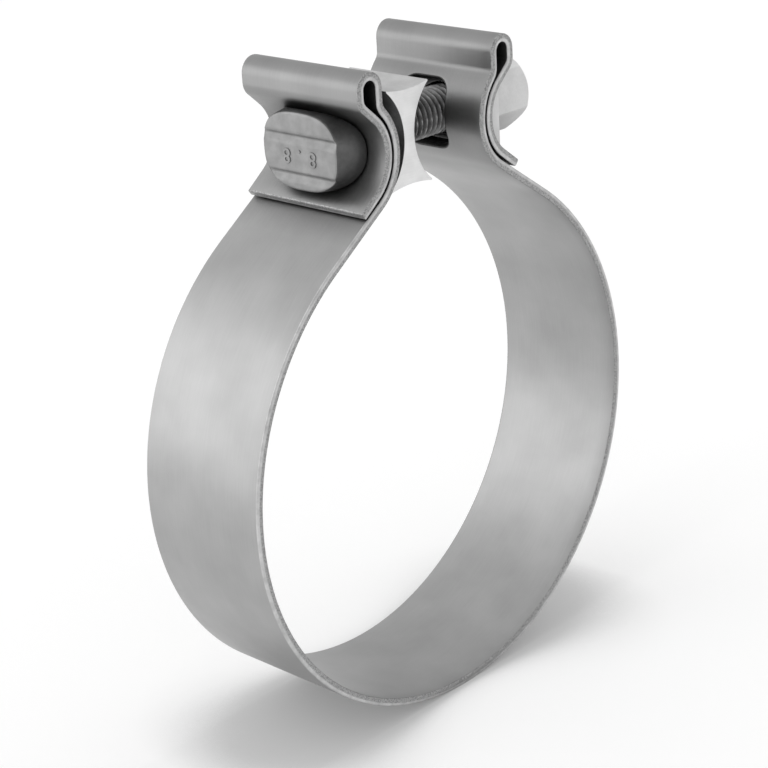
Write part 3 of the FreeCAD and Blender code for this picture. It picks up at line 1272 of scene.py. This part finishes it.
    def slot_wall(
        self,
        draft: Draft,
        slot: BoltSlot,
        border: Sequence[tuple[float, float]],
        first: list[int],
        last: list[int],
    ) -> None:
        """Join the two faces of the sheet through a slot, with rounded rims.

        Args:
            draft: Mesh that grows.
            slot: Slot to line.
            border: Places of the patch's border points, along and across.
            first: Points of the rim on the bore face.
            last: Points of the rim on the other face.
        """
        row = first
        for reach, depth in self.rim_profile(self.slot_edge)[1:-1]:
            places = [slot.rim(*place, self.slot_edge - reach) for place in border]
            new = [self.point(draft, along, across, depth) for along, across in places]
            draft.bridge(row, new, finish=2)
            row = new
        draft.bridge(row, last, finish=2)

    def outside(
        self,
        draft: Draft,
        rows: Sequence[float],
        columns: Sequence[float],
        faces: Sequence[dict[tuple[int, int], int]],
    ) -> None:
        """Join the two faces of the sheet round the strip's outer edge.

        Args:
            draft: Draft that gets the points and faces.
            rows: Places of the mesh's rows along the strip.
            columns: Places of its columns across the strip.
            faces: Numbers of the two faces' points by row and column.
        """
        top, right = len(rows) - 1, len(columns) - 1
        loop = self.loop(0, top, 0, right)
        row = [faces[0][key] for key in loop]
        for reach, depth in self.rim_profile(self.edge)[1:-1]:
            new = []
            for i, j in loop:
                along = rows[i] + reach * ((i == top) - (i == 0))
                across = columns[j] + reach * ((j == right) - (j == 0))
                new.append(self.point(draft, along, across, depth))
            draft.bridge(row, new, finish=1)
            row = new
        draft.bridge(row, [faces[1][key] for key in loop], finish=1)

    def place(self) -> list[bpy.types.Object]:
        """Build the strip in place of the imported band.

        Returns:
            The objects that were built.
        """
        strip = self.build()
        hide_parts("band_left", "band_right")
        bottom = -(self.lug.bore_radius + self.lug.sheet / 2)
        ends = [(sign * self.bend_reach * MM, 0, bottom * MM) for sign in (-1, 1)]
        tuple(ends[0])
        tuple(ends[1])
        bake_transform(strip)
        return [strip]


@dataclass
class ForgedBolt:
    """Bolt with a forged oval head that rocks in the left lug, and a rolled thread.

    Attributes:
        lug: Sizes of the strip and its lugs.
        face_length: Flat face of the head, along the pipe.
        face_height: The same, up and down.
        squareness: Power of the head's rounded outline: 2 is an ellipse, more is squarer.
        flare: Growth of the head on each side down to its foot.
        rim: Rounding between the flat face and the head's side.
        rim_steps: Steps of that rounding.
        struck_rings: Steps of it that still have the finish of the flat face.
        seat_play: Play between the head's half-round underside and the seat.
        face_rise: Height of the flat face over the bottom of the seat.
        grooves: Height of each forged groove over the bolt's axis.
        groove_width: Width of a groove below its deepest line; above it, it is half as wide.
        groove_depth: Depth of a groove.
        outline_steps: Steps of the outline from the bottom to the top of the head.
        face_columns: Columns of faces across the flat face.
        least_turn: Least angle between two points of the outline, in radians.
        side_rings: Shares of the way down the head's side where it has rows of points.
        under_rings: The same from the foot to the shank, under the head.
        foot_inset: How far the first of those lies in from the foot, as a share.
        neck_share: Size of the shank at the head, as a share of its radius.
        diameter: Diameter of the thread.
        pitch: Pitch of the thread.
        root: Share of half a pitch that the flat root takes up.
        flank: Share of half a pitch at which the flank has reached the crest.
        core_radius: Radius at the thread's root.
        thread_start: Where the thread starts along the bolt.
        thread_sides: Points round the thread.
        thread_steps: Steps along each pitch.
        plain_share: Radius of the plain shank, as a share of the thread's.
        shank_sink: How far the shank reaches into the head.
        end_chamfer: Chamfer at the bolt's end.
        end_x: Where the bolt ends.
        mark: Strength numbers raised on the head.
        mark_height: Height of those numbers.
        font_scale: Size of the font for numbers of a height of 1.
        mark_spacing: Distance between them, as a share of the font's own.
        mark_relief: How far they stand out on either side of the face.
        mark_edge: Rounding of their edges.
        mark_curve: Steps of their curves.
        GROOVE_ROWS: Rows of points across a groove, as shares of its width.
    """

    GROOVE_ROWS = (-1, -0.75, -0.5, -0.25, 0, 0.12, 0.25, 0.38, 0.5)

    lug: Lug = field(default_factory=Lug)
    face_length: float = 20.3
    face_height: float = 15.8
    squareness: float = 2.7
    flare: float = 1.0
    rim: float = 0.55
    rim_steps: int = 4
    struck_rings: int = 2
    seat_play: float = 0.3
    face_rise: float = 7.9
    grooves: tuple[float, float] = (2.85, -4.85)
    groove_width: float = 1.7
    groove_depth: float = 0.5
    outline_steps: int = 40
    face_columns: int = 8
    least_turn: float = 0.004
    side_rings: tuple[float, ...] = (0.3, 0.65, 0.93)
    under_rings: tuple[float, ...] = (0.0, 0.12, 0.4, 0.7, 1.0)
    foot_inset: float = 0.02
    neck_share: float = 0.96
    diameter: float = 10.0
    pitch: float = 1.5
    root: float = 0.2
    flank: float = 0.88
    core_radius: float = 4.1
    thread_start: float = -9.0
    thread_sides: int = 60
    thread_steps: int = 14
    plain_share: float = 0.92
    shank_sink: float = 2.0
    end_chamfer: float = 1.0
    end_x: float = 39.6
    mark: str = "8.8"
    mark_height: float = 3.1
    font_scale: float = 1.4
    mark_spacing: float = 1.9
    mark_relief: float = 0.12
    mark_edge: float = 0.05
    mark_curve: int = 4

    def __post_init__(self) -> None:
        """Work out the head's places from the seat."""
        self.round_radius = self.lug.seat_radius - self.seat_play
        self.seat_centre = -self.lug.seat_x
        self.face_x = self.seat_centre + self.lug.seat_radius - self.face_rise
        self.foot_x = self.seat_centre + self.round_radius
        self.axis_z = self.lug.bolt_z

    def outline(self, angle: float, growth: float) -> tuple[float, float]:
        """Point (y, z over the axis) of the head's outline, grown by a distance.

        Args:
            angle: Angle about the bolt's axis, in radians.
            growth: Distance that the outline is grown by.

        Returns:
            The point.
        """
        power = 2 / self.squareness
        cos, sin = math.cos(angle), math.sin(angle)
        y = (self.face_length / 2 + growth) * math.copysign(abs(cos) ** power, cos)
        z = (self.face_height / 2 + growth) * math.copysign(abs(sin) ** power, sin)
        return (y, z)

    def groove(self, z: float) -> float:
        """Depth of the forged grooves at a height over the axis, steep above, gentle below.

        Args:
            z: Height over the axis.

        Returns:
            The depth there.
        """
        total = 0.0
        for middle in self.grooves:
            offset = (z - middle) / self.groove_width
            share = offset * 2 if offset > 0 else -offset
            if share < 1:
                total += self.groove_depth * math.cos(share * math.pi / 2) ** 2
        return total

    def angles(self) -> list[float]:
        """Angles of the outline's points on its right half, bottom to top.

        Returns:
            The angles, in radians.
        """
        half = self.face_height / 2
        count = self.outline_steps
        values = {math.pi * (i / count - 0.5) for i in range(count + 1)}
        for middle in self.grooves:
            for share in self.GROOVE_ROWS:
                z = (middle + share * self.groove_width) / half
                values.add(math.copysign(math.asin(abs(z) ** (self.squareness / 2)), z))
        ordered = sorted(values)
        kept = ordered[:1]
        for value in ordered[1:]:
            if value - kept[-1] > self.least_turn:
                kept.append(value)
        return kept

    def under(self, z: float) -> float:
        """Place along the bolt of the half-round underside at a height over the axis."""
        return self.seat_centre + math.sqrt(max(self.round_radius**2 - z**2, 0.0))

    def foot(self, angle: float) -> tuple[float, float, float]:
        """Point where the flared side meets the half-round underside.

        Args:
            angle: Angle about the bolt's axis, in radians.

        Returns:
            The point, with its height over the axis.
        """
        low, high = 0.0, 1.0
        depth = self.foot_x - self.face_x
        for _ in range(HALVINGS):
            share = (low + high) / 2
            y, z = self.outline(angle, self.flare * share)
            if self.face_x + share * depth < self.under(z):
                low = share
            else:
                high = share
        y, z = self.outline(angle, self.flare * low)
        return (self.under(z), y, z)

    def head(self, draft: Draft) -> list[int]:
        """Add the head to a mesh.

        Args:
            draft: Mesh that grows.

        Returns:
            Points of the circle where the shank leaves the head's underside.
        """
        right = self.angles()
        angles = right + [math.pi - a for a in reversed(right[1:-1])]
        rings: list[list[int]] = []
        for step in range(self.rim_steps + 1):
            a = math.pi / 2 * step / self.rim_steps
            growth = self.rim * (math.sin(a) - 1)
            row = []
            for angle in angles:
                y, z = self.outline(angle, growth)
                x = self.face_x + self.rim * (1 - math.cos(a)) + self.groove(z) * math.cos(a)
                row.append(draft.point(x, y, self.axis_z + z))
            rings.append(row)
        feet = [self.foot(angle) for angle in angles]
        side_start = [self.outline(angle, 0.0) for angle in angles]
        for share in self.side_rings:
            row = []
            for (y, z), (foot_x, foot_y, foot_z) in zip(side_start, feet):
                start_x = self.face_x + self.rim
                x = start_x + share * (foot_x - start_x)
                row.append(
                    draft.point(x, y + share * (foot_y - y), self.axis_z + z + share * (foot_z - z))
                )
            rings.append(row)
        shank = self.diameter / 2 * self.neck_share
        for share in self.under_rings:
            row = []
            for x, y, z in feet:
                inset = self.foot_inset if share == 0 else 0.0
                scale = 1 + share * (shank / math.hypot(y, z) - 1) - inset
                row.append(draft.point(self.under(z * scale), y * scale, self.axis_z + z * scale))
            rings.append(row)
        for number, (first, second) in enumerate(zip(rings, rings[1:])):
            draft.bridge(first, second, finish=1 if number < self.struck_rings else 0)
        self.flat_face(draft, rings[0], len(right))
        return rings[-1]

    def flat_face(self, draft: Draft, ring: Sequence[int], count: int) -> None:
        """Fill the flat face with rows of quads between its right and left half.

        Args:
            draft: Mesh that grows.
            ring: Points of the face's outline, right half bottom to top, then the left half.
            count: Number of points of the right half, with the bottom and the top one.
        """
        columns = self.face_columns
        left = [ring[0]] + [ring[-i] for i in range(1, count - 1)] + [ring[count - 1]]
        rows: list[list[int]] = []
        for first, last in zip(ring[:count], left):
            if first == last:
                rows.append([first] * (columns + 1))
                continue
            x, y, z = draft.points[first]
            inner = [draft.point(x, y * (1 - 2 * i / columns), z) for i in range(1, columns)]
            rows.append([first] + inner + [last])
        for low, high in zip(rows, rows[1:]):
            for i in range(columns):
                corners = dict.fromkeys((low[i], low[i + 1], high[i + 1], high[i]))
                draft.face(*corners, finish=1)

    def thread_height(self, turns: float) -> float:
        """Share of the thread's depth that stands at a place, in turns along the thread."""
        place = abs(turns - math.floor(turns) - 0.5) * 2
        return min(max((place - self.root) / (self.flank - self.root), 0.0), 1.0)

    def shank(self, draft: Draft) -> None:
        """Add the threaded shank, chamfered at its end.

        Args:
            draft: Draft that gets the points and faces.
        """
        angles = turn(self.thread_sides)
        radius = self.diameter / 2
        inside = self.foot_x - self.shank_sink
        places = [inside, self.thread_start - self.pitch]
        count = round((self.end_x - self.thread_start) / self.pitch * self.thread_steps)
        places += [
            self.thread_start + (self.end_x - self.thread_start) * i / count
            for i in range(count + 1)
        ]
        rings = []
        for x in places:
            row = []
            start = min(max((x - self.thread_start) / self.pitch, 0.0), 1.0)
            limit = radius - max(0.0, x - (self.end_x - self.end_chamfer))
            for angle in angles:
                height = self.thread_height(x / self.pitch - angle / (2 * math.pi))
                threaded = self.core_radius + (radius - self.core_radius) * height
                plain = radius * self.plain_share
                size = min(plain + start * (threaded - plain), limit)
                row.append(
                    draft.point(x, size * math.cos(angle), self.axis_z + size * math.sin(angle))
                )
            rings.append(row)
        for first, second in zip(rings, rings[1:]):
            draft.bridge(first, second)
        draft.face(*rings[0])
        draft.face(*rings[-1])

    def numbers(self) -> bpy.types.Object:
        """Raised strength numbers in the strip between the grooves, upside down as fitted.

        Returns:
            The object of the numbers.
        """
        curve = bpy.data.curves.new("head_numbers", "FONT")
        curve.body = self.mark
        curve.size = self.mark_height * self.font_scale * MM
        curve.space_character = self.mark_spacing
        curve.align_x = "CENTER"
        curve.align_y = "CENTER"
        curve.extrude = self.mark_relief * MM
        curve.bevel_depth = self.mark_edge * MM
        curve.bevel_resolution = 1
        curve.resolution_u = self.mark_curve
        text = bpy.data.objects.new("head_numbers_outline", curve)
        bpy.context.scene.collection.objects.link(text)
        graph = bpy.context.evaluated_depsgraph_get()
        mesh = bpy.data.meshes.new_from_object(text.evaluated_get(graph))
        bpy.data.objects.remove(text)
        middle = sum(self.grooves) / 2
        outward = Matrix(((0, 0, -1), (1, 0, 0), (0, -1, 0))).to_4x4()
        place = Matrix.Translation(Vector((self.face_x, 0, self.axis_z + middle)) * MM)
        mesh.transform(place @ outward)
        mesh.materials.clear()
        mesh.materials.append(STRUCK.material())
        obj = bpy.data.objects.new("head_numbers", mesh)
        bpy.context.scene.collection.objects.link(obj)
        tidy_normals(obj)
        return obj

    def place(self) -> list[bpy.types.Object]:
        """Build the head, the threaded shank and the numbers, on the bolt's body.

        Returns:
            The objects that were built.
        """
        head_draft = Draft()
        neck = self.head(head_draft)
        head_draft.face(*neck)
        head = head_draft.build("bolt_head", [FORGED.material(), STRUCK.material()])
        shank_draft = Draft()
        self.shank(shank_draft)
        shank = shank_draft.build("bolt_thread", [THREAD.material()])
        pieces = [head, shank, self.numbers()]
        for piece in pieces:
            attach(piece, "bolt")
        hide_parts("bolt")
        return pieces


@dataclass
class HalfRoundWasher:
    """Half-round washer in the right lug, with its flat towards the nut.

    Attributes:
        lug: Sizes of the strip and its lugs.
        length: Length along the pipe.
        height: Height of its flat.
        rise: Height of the flat over the bottom of the seat.
        seat_play: Play between its round side and the seat.
        hole_radius: Radius of its hole.
        edge: Rounding of its edges.
        curve_steps: Steps of its round side.
    """

    lug: Lug = field(default_factory=Lug)
    length: float = 21.5
    height: float = 16.0
    rise: float = 8.0
    seat_play: float = 0.3
    hole_radius: float = 5.45
    edge: float = 0.35
    curve_steps: int = 40

    def place(self) -> list[bpy.types.Object]:
        """Build the washer on its body.

        Returns:
            The objects that were built.
        """
        radius = self.lug.seat_radius - self.seat_play
        centre = self.lug.seat_x
        flat_x = centre - self.lug.seat_radius + self.rise
        reach = math.asin(self.height / 2 / radius)
        count = self.curve_steps
        outline = [
            (centre - radius * math.cos(a), self.lug.bolt_z + radius * math.sin(a))
            for a in (reach * (2 * i / count - 1) for i in range(count + 1))
        ]
        half = self.height / 2
        outline += [(flat_x, self.lug.bolt_z + half), (flat_x, self.lug.bolt_z - half)]
        washer = bar_along_pipe(
            outline, self.length, "half_round_washer_body", PLATED, PLATED
        )
        drill(washer, self.hole_radius, centre - radius, flat_x, self.lug.bolt_z)
        round_edges(washer, self.edge)
        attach(washer, "washer")
        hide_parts("half_round_washer")
        return [washer]


@dataclass
class HexNut:
    """Tall hexagon nut, chamfered at both ends.

    Attributes:
        lug: Sizes of the strip and its lugs.
        flats: Width across the flats.
        length: Length along the bolt.
        turned: How far it is turned on the bolt, in radians.
        face_radius: Radius of its round end faces, inside the chamfers.
        chamfer: Angle of the outer chamfer from the end face, in radians.
        seat_chamfer: The same at the washer.
        bore_radius: Radius of its bore.
        sink: Chamfer at both ends of the bore.
        start_x: Where it starts along the bolt.
        edge: Rounding of its edges.
        steps: Points from one corner to the next.
    """

    lug: Lug = field(default_factory=Lug)
    flats: float = 15.0
    length: float = 14.2
    turned: float = math.radians(18)
    face_radius: float = 7.1
    chamfer: float = math.radians(40)
    seat_chamfer: float = math.radians(60)
    bore_radius: float = 5.05
    sink: float = 0.7
    start_x: float = 23.9
    edge: float = 0.22
    steps: int = 12

    def place(self) -> list[bpy.types.Object]:
        """Build the nut on its body.

        Returns:
            The objects that were built.
        """
        draft = Draft()
        corner = self.turned - math.pi
        angles = turn(6 * self.steps, corner)
        sides = []
        for number in range(len(angles)):
            within = (number % self.steps) / self.steps * math.pi / 3 - math.pi / 6
            sides.append(self.flats / 2 / math.cos(within))
        end_x = self.start_x + self.length

        def ring(sizes: Sequence[float], places: Sequence[float]) -> list[int]:
            """Add a ring of points with a radius and a place along the bolt for each.

            Args:
                sizes: Radius of each point.
                places: Place along the bolt of each point.

            Returns:
                Numbers of the points.
            """
            return [
                draft.point(x, r * math.cos(a), self.lug.bolt_z + r * math.sin(a))
                for a, r, x in zip(angles, sizes, places)
            ]

        def flat(size: float, x: float) -> list[int]:
            """Add a round ring of points in one plane."""
            return ring([size] * len(angles), [x] * len(angles))

        seat_meet = [
            self.start_x + (side - self.face_radius) / math.tan(self.seat_chamfer)
            for side in sides
        ]
        outer_meet = [
            end_x - (side - self.face_radius) / math.tan(self.chamfer) for side in sides
        ]
        rings = [
            flat(self.bore_radius, self.start_x + self.sink),
            flat(self.bore_radius + self.sink, self.start_x),
            flat(self.face_radius, self.start_x),
            ring(sides, seat_meet),
            ring(sides, outer_meet),
            flat(self.face_radius, end_x),
            flat(self.bore_radius + self.sink, end_x),
            flat(self.bore_radius, end_x - self.sink),
        ]
        for first, second in zip(rings, rings[1:] + rings[:1]):
            draft.bridge(first, second)
        nut = draft.build("hexagon_nut", [PLATED.material()])
        round_edges(nut, self.edge)
        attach(nut, "nut")
        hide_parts("nut")
        return [nut]


@dataclass
class ReactionBlock:
    """Extruded aluminium block on the bolt, with a hollow side for each lug.

    Attributes:
        lug: Sizes of the strip and its lugs.
        length: Length along the pipe.
        height: Height at its tips.
        width: Width at its tips.
        waist: Width at its middle.
        sag: How far its top and bottom sink in the middle.
        play: Play between its hollow sides and the bulges.
        middle_x: Place of its middle along the bolt.
        hole_radius: Radius of its bore.
        edge: Rounding of its edges.
        curve_steps: Steps of each of its four curved sides.
    """

    lug: Lug = field(default_factory=Lug)
    length: float = 21.2
    height: float = 20.7
    width: float = 12.2
    waist: float = 3.0
    sag: float = 0.7
    play: float = 0.4
    middle_x: float = -3.5
    hole_radius: float = 5.45
    edge: float = 0.18
    curve_steps: int = 28

    def outline(self) -> list[tuple[float, float]]:
        """Section of the block: hollow right side, top, left side and bottom.

        Returns:
            Points (x, z) of the section.
        """
        radius = self.lug.bulge_radius + self.play
        side_x = self.waist / 2 + radius
        reach = math.acos((side_x - self.width / 2) / radius)
        top_radius = ((self.width / 2) ** 2 + self.sag**2) / (2 * self.sag)
        top_z = self.height / 2 - self.sag + top_radius
        spread = math.asin(self.width / 2 / top_radius)
        count = self.curve_steps

        def sweep(angle: float) -> list[float]:
            """Even steps from an angle to its opposite."""
            return [angle * (1 - 2 * i / count) for i in range(count + 1)]

        right = [(side_x - radius * math.cos(a), -radius * math.sin(a)) for a in sweep(reach)]
        top = [
            (top_radius * math.sin(a), top_z - top_radius * math.cos(a)) for a in sweep(spread)
        ]
        half = right + top
        points = half + [(-x, -z) for x, z in half]
        return [(self.middle_x + x, self.lug.bolt_z + z) for x, z in points]

    def place(self) -> list[bpy.types.Object]:
        """Build the block on its body.

        Returns:
            The objects that were built.
        """
        block = bar_along_pipe(self.outline(), self.length, "lug_block", EXTRUDED, SAWN)
        start, end = self.middle_x - self.width / 2, self.middle_x + self.width / 2
        drill(block, self.hole_radius, start, end, self.lug.bolt_z)
        round_edges(block, self.edge)
        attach(block, "block")
        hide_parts("reaction_block")
        return [block]


@dataclass(frozen=True)
class Softbox:
    """Rectangular soft lamp that faces the clamp.

    Attributes:
        name: Name of the lamp.
        place: Its middle, in millimetres.
        length: Its size across.
        width: Its size up, or along the pipe where it hangs overhead.
        power: Its power in watts.
        lights_matte: Whether it lights matte surfaces, or shows in reflections only.
    """

    name: str
    place: tuple[float, float, float]
    length: float
    width: float
    power: float
    lights_matte: bool = True


OVERHEAD = Softbox("overhead_lamp", (0.0, 0.0, 3000.0), 10000.0, 500.0, 25.0)
SIDE = Softbox("side_lamp", (-330.0, 300.0, 110.0), 500.0, 380.0, 0.45, False)


@dataclass
class Studio:
    """Pale floor, soft lamps and the camera at the photograph's angle.

    Attributes:
        azimuth: Direction of the camera from the origin, in degrees from the front.
        elevation: Its height over the horizon, in degrees.
        roll: Its turn about the line of sight, in degrees.
        distance: Its distance in millimetres along the line of sight.
        aside: Its shift to the right and up, in millimetres.
        nudge: Its shift along the bolt, in millimetres.
        focal: Focal length in pixels of a square image, image_width wide.
        image_width: Width of that image in pixels.
        sensor: Width of the camera's sensor in millimetres.
        near: Nearest distance that the camera sees, in metres.
        floor_z: Height of the floor.
        floor_size: Length and width of the floor.
        floor_colour: Hex colour of the floor.
        lift: Glow that carries the floor's colour to white in the picture and in reflections.
        contact_mm: How near to the clamp the floor gets a painted shadow.
        contact_shade: How dark that painted shadow gets where they touch.
        contact_openness: Openness at which that shade is full, and at which it is gone.
        contact_samples: Samples of the openness.
        bright_side: Direction of the brightest part of the surroundings.
        bright_level: Their strength there.
        dim_level: Their strength on the other side.
    """

    azimuth: float = -46.061
    elevation: float = 21.226
    roll: float = -3.245
    distance: float = 444.457
    aside: tuple[float, float] = (-3.257, 8.917)
    nudge: float = 0.2
    focal: float = 2079.8
    image_width: int = 768
    sensor: float = 36.0
    near: float = 0.01
    floor_z: float = -57.1
    floor_size: float = 20000.0
    floor_colour: str = "F0F0F0"
    lift: float = 0.2
    contact_mm: float = 28.0
    contact_shade: float = 0.45
    contact_openness: tuple[float, float] = (0.7, 0.985)
    contact_samples: int = 16
    bright_side: tuple[float, float, float] = (-0.62, 0.78, 0.0)
    bright_level: float = 1.12
    dim_level: float = 0.74

    def camera(self) -> bpy.types.Object:
        """Add the camera and make it the scene's own.

        Returns:
            The camera.
        """
        az, el, roll = (math.radians(a) for a in (self.azimuth, self.elevation, self.roll))
        back = Vector(
            (math.sin(az) * math.cos(el), -math.cos(az) * math.cos(el), math.sin(el))
        )
        level = Vector((math.cos(az), math.sin(az), 0))
        upright = level.cross(-back)
        right = level * math.cos(roll) + upright * math.sin(roll)
        up = upright * math.cos(roll) - level * math.sin(roll)
        place = back * self.distance + right * self.aside[0] + up * self.aside[1]
        place.x += self.nudge
        data = bpy.data.cameras.new("camera")
        data.sensor_width = self.sensor
        data.lens = self.focal * self.sensor / self.image_width
        data.clip_start = self.near
        camera = bpy.data.objects.new("camera", data)
        camera.matrix_world = (
            Matrix.Translation(place * MM) @ Matrix((right, up, back)).transposed().to_4x4()
        )
        bpy.context.scene.collection.objects.link(camera)
        bpy.context.scene.camera = camera
        return camera

    def seen(self, tree: bpy.types.NodeTree) -> bpy.types.NodeSocket:
        """1 for rays from the camera, from a reflection or through glass, else 0.

        Args:
            tree: Node tree of the floor or the world.

        Returns:
            Socket of the value.
        """
        path = add_node(tree, "ShaderNodeLightPath")
        names = ("Is Camera Ray", "Is Glossy Ray", "Is Transmission Ray")
        total = path.outputs[names[0]]
        for name in names[1:]:
            total = add_node(
                tree,
                "ShaderNodeMath",
                {"operation": "MAXIMUM"},
                in0=total,
                in1=path.outputs[name],
            ).outputs[0]
        return total

    def floor_tone(self, tree: bpy.types.NodeTree) -> bpy.types.NodeSocket:
        """Colour of the floor, with a painted shadow close to the clamp.

        Args:
            tree: Node tree of the material.

        Returns:
            Socket of the colour.
        """
        openness = add_node(
            tree,
            "ShaderNodeAmbientOcclusion",
            {"samples": self.contact_samples},
            Distance=self.contact_mm * MM,
        )
        share = add_node(
            tree,
            "ShaderNodeMapRange",
            in0=openness.outputs["AO"],
            in1=self.contact_openness[0],
            in2=self.contact_openness[1],
            in3=1 - self.contact_shade,
            in4=1.0,
        )
        toned = add_node(
            tree,
            "ShaderNodeMix",
            {"data_type": "RGBA", "blend_type": "MULTIPLY"},
            in0=1.0,
            in6=linear(self.floor_colour),
            in7=share.outputs[0],
        )
        return toned.outputs[2]

    def floor(self) -> bpy.types.Object:
        """Add the white floor, which keeps the clamp's shadow.

        Returns:
            The floor.
        """
        size = self.floor_size / 2
        draft = Draft()
        corners = ((-1, -1), (1, -1), (1, 1), (-1, 1))
        draft.face(*(draft.point(size * x, size * y, self.floor_z) for x, y in corners))
        material, tree = new_material("white_floor")
        matte = add_node(tree, "ShaderNodeBsdfDiffuse", Color=self.floor_tone(tree))
        lift = add_node(
            tree, "ShaderNodeMath", {"operation": "MULTIPLY"}, in0=self.seen(tree), in1=self.lift
        )
        glow = add_node(
            tree, "ShaderNodeEmission", Color=linear("FFFFFF"), Strength=lift.outputs[0]
        )
        both = add_node(
            tree, "ShaderNodeAddShader", in0=matte.outputs[0], in1=glow.outputs[0]
        )
        add_node(tree, "ShaderNodeOutputMaterial", Surface=both.outputs[0])
        floor = draft.build("floor", [material])
        floor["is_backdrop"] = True
        return floor

    def world(self) -> None:
        """Set the surroundings: a soft studio, brighter behind the clamp than before it."""
        world = bpy.data.worlds.new("studio")
        bpy.context.scene.world = world
        world.use_nodes = True
        tree = world.node_tree
        tree.nodes.clear()
        direction = add_node(tree, "ShaderNodeTexCoord").outputs["Generated"]
        bright = Vector(self.bright_side).normalized()
        along = add_node(
            tree, "ShaderNodeVectorMath", {"operation": "DOT_PRODUCT"}, in0=direction, in1=bright
        )
        strength = add_node(
            tree,
            "ShaderNodeMapRange",
            in0=along.outputs["Value"],
            in1=0.0,
            in2=1.0,
            in3=self.dim_level,
            in4=self.bright_level,
        )
        sky = add_node(
            tree, "ShaderNodeBackground", Color=linear("FFFFFF"), Strength=strength.outputs[0]
        )
        add_node(tree, "ShaderNodeOutputWorld", Surface=sky.outputs[0])

    def lamp(self, lamp: Softbox) -> bpy.types.Object:
        """Add a rectangular soft lamp.

        Args:
            lamp: Its place, sizes and power.

        Returns:
            The lamp.
        """
        data = bpy.data.lights.new(lamp.name, "AREA")
        data.shape = "RECTANGLE"
        data.size = lamp.length * MM
        data.size_y = lamp.width * MM
        data.energy = lamp.power
        obj = bpy.data.objects.new(lamp.name, data)
        obj.location = Vector(lamp.place) * MM
        obj.rotation_euler = (-Vector(lamp.place)).to_track_quat("-Z", "Y").to_euler()
        obj.visible_diffuse = lamp.lights_matte
        bpy.context.scene.collection.objects.link(obj)
        return obj

    def place(self) -> list[bpy.types.Object]:
        """Build the whole studio and return its floor.

        Returns:
            The floor, in a list.
        """
        self.camera()
        floor = self.floor()
        self.world()
        for lamp in (OVERHEAD, SIDE):
            self.lamp(lamp)
        bpy.context.scene.view_settings.view_transform = "Standard"
        return [floor]


def report(name: str, pieces: Sequence[bpy.types.Object]) -> None:
    """Log the faces and the size of each piece of a sub-assembly.

    Args:
        name: Name of the sub-assembly.
        pieces: Its objects.
    """
    for piece in pieces:
        size = " x ".join(f"{side / MM:.1f}" for side in piece.dimensions)
        LOG.info("%s: %s, %d faces, %s mm", name, piece.name, len(piece.data.polygons), size)


def main() -> None:
    """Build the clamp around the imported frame."""
    logging.basicConfig(level=logging.INFO, format="%(message)s")
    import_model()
    solid_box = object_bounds()
    lug = Lug()
    builders: list[tuple[str, Callable[[], list[bpy.types.Object]]]] = [
        ("strip", Strip(lug).place),
        ("bolt", ForgedBolt(lug).place),
        ("half-round washer", HalfRoundWasher(lug).place),
        ("nut", HexNut(lug).place),
        ("reaction block", ReactionBlock(lug).place),
        ("studio", Studio().place),
    ]
    for name, build in builders:
        report(name, build())
    boxes = {"solids": solid_box, "looks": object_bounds()}
    plain = {key: [list(corner) for corner in box] for key, box in boxes.items()}


if __name__ == "__main__":
    main()
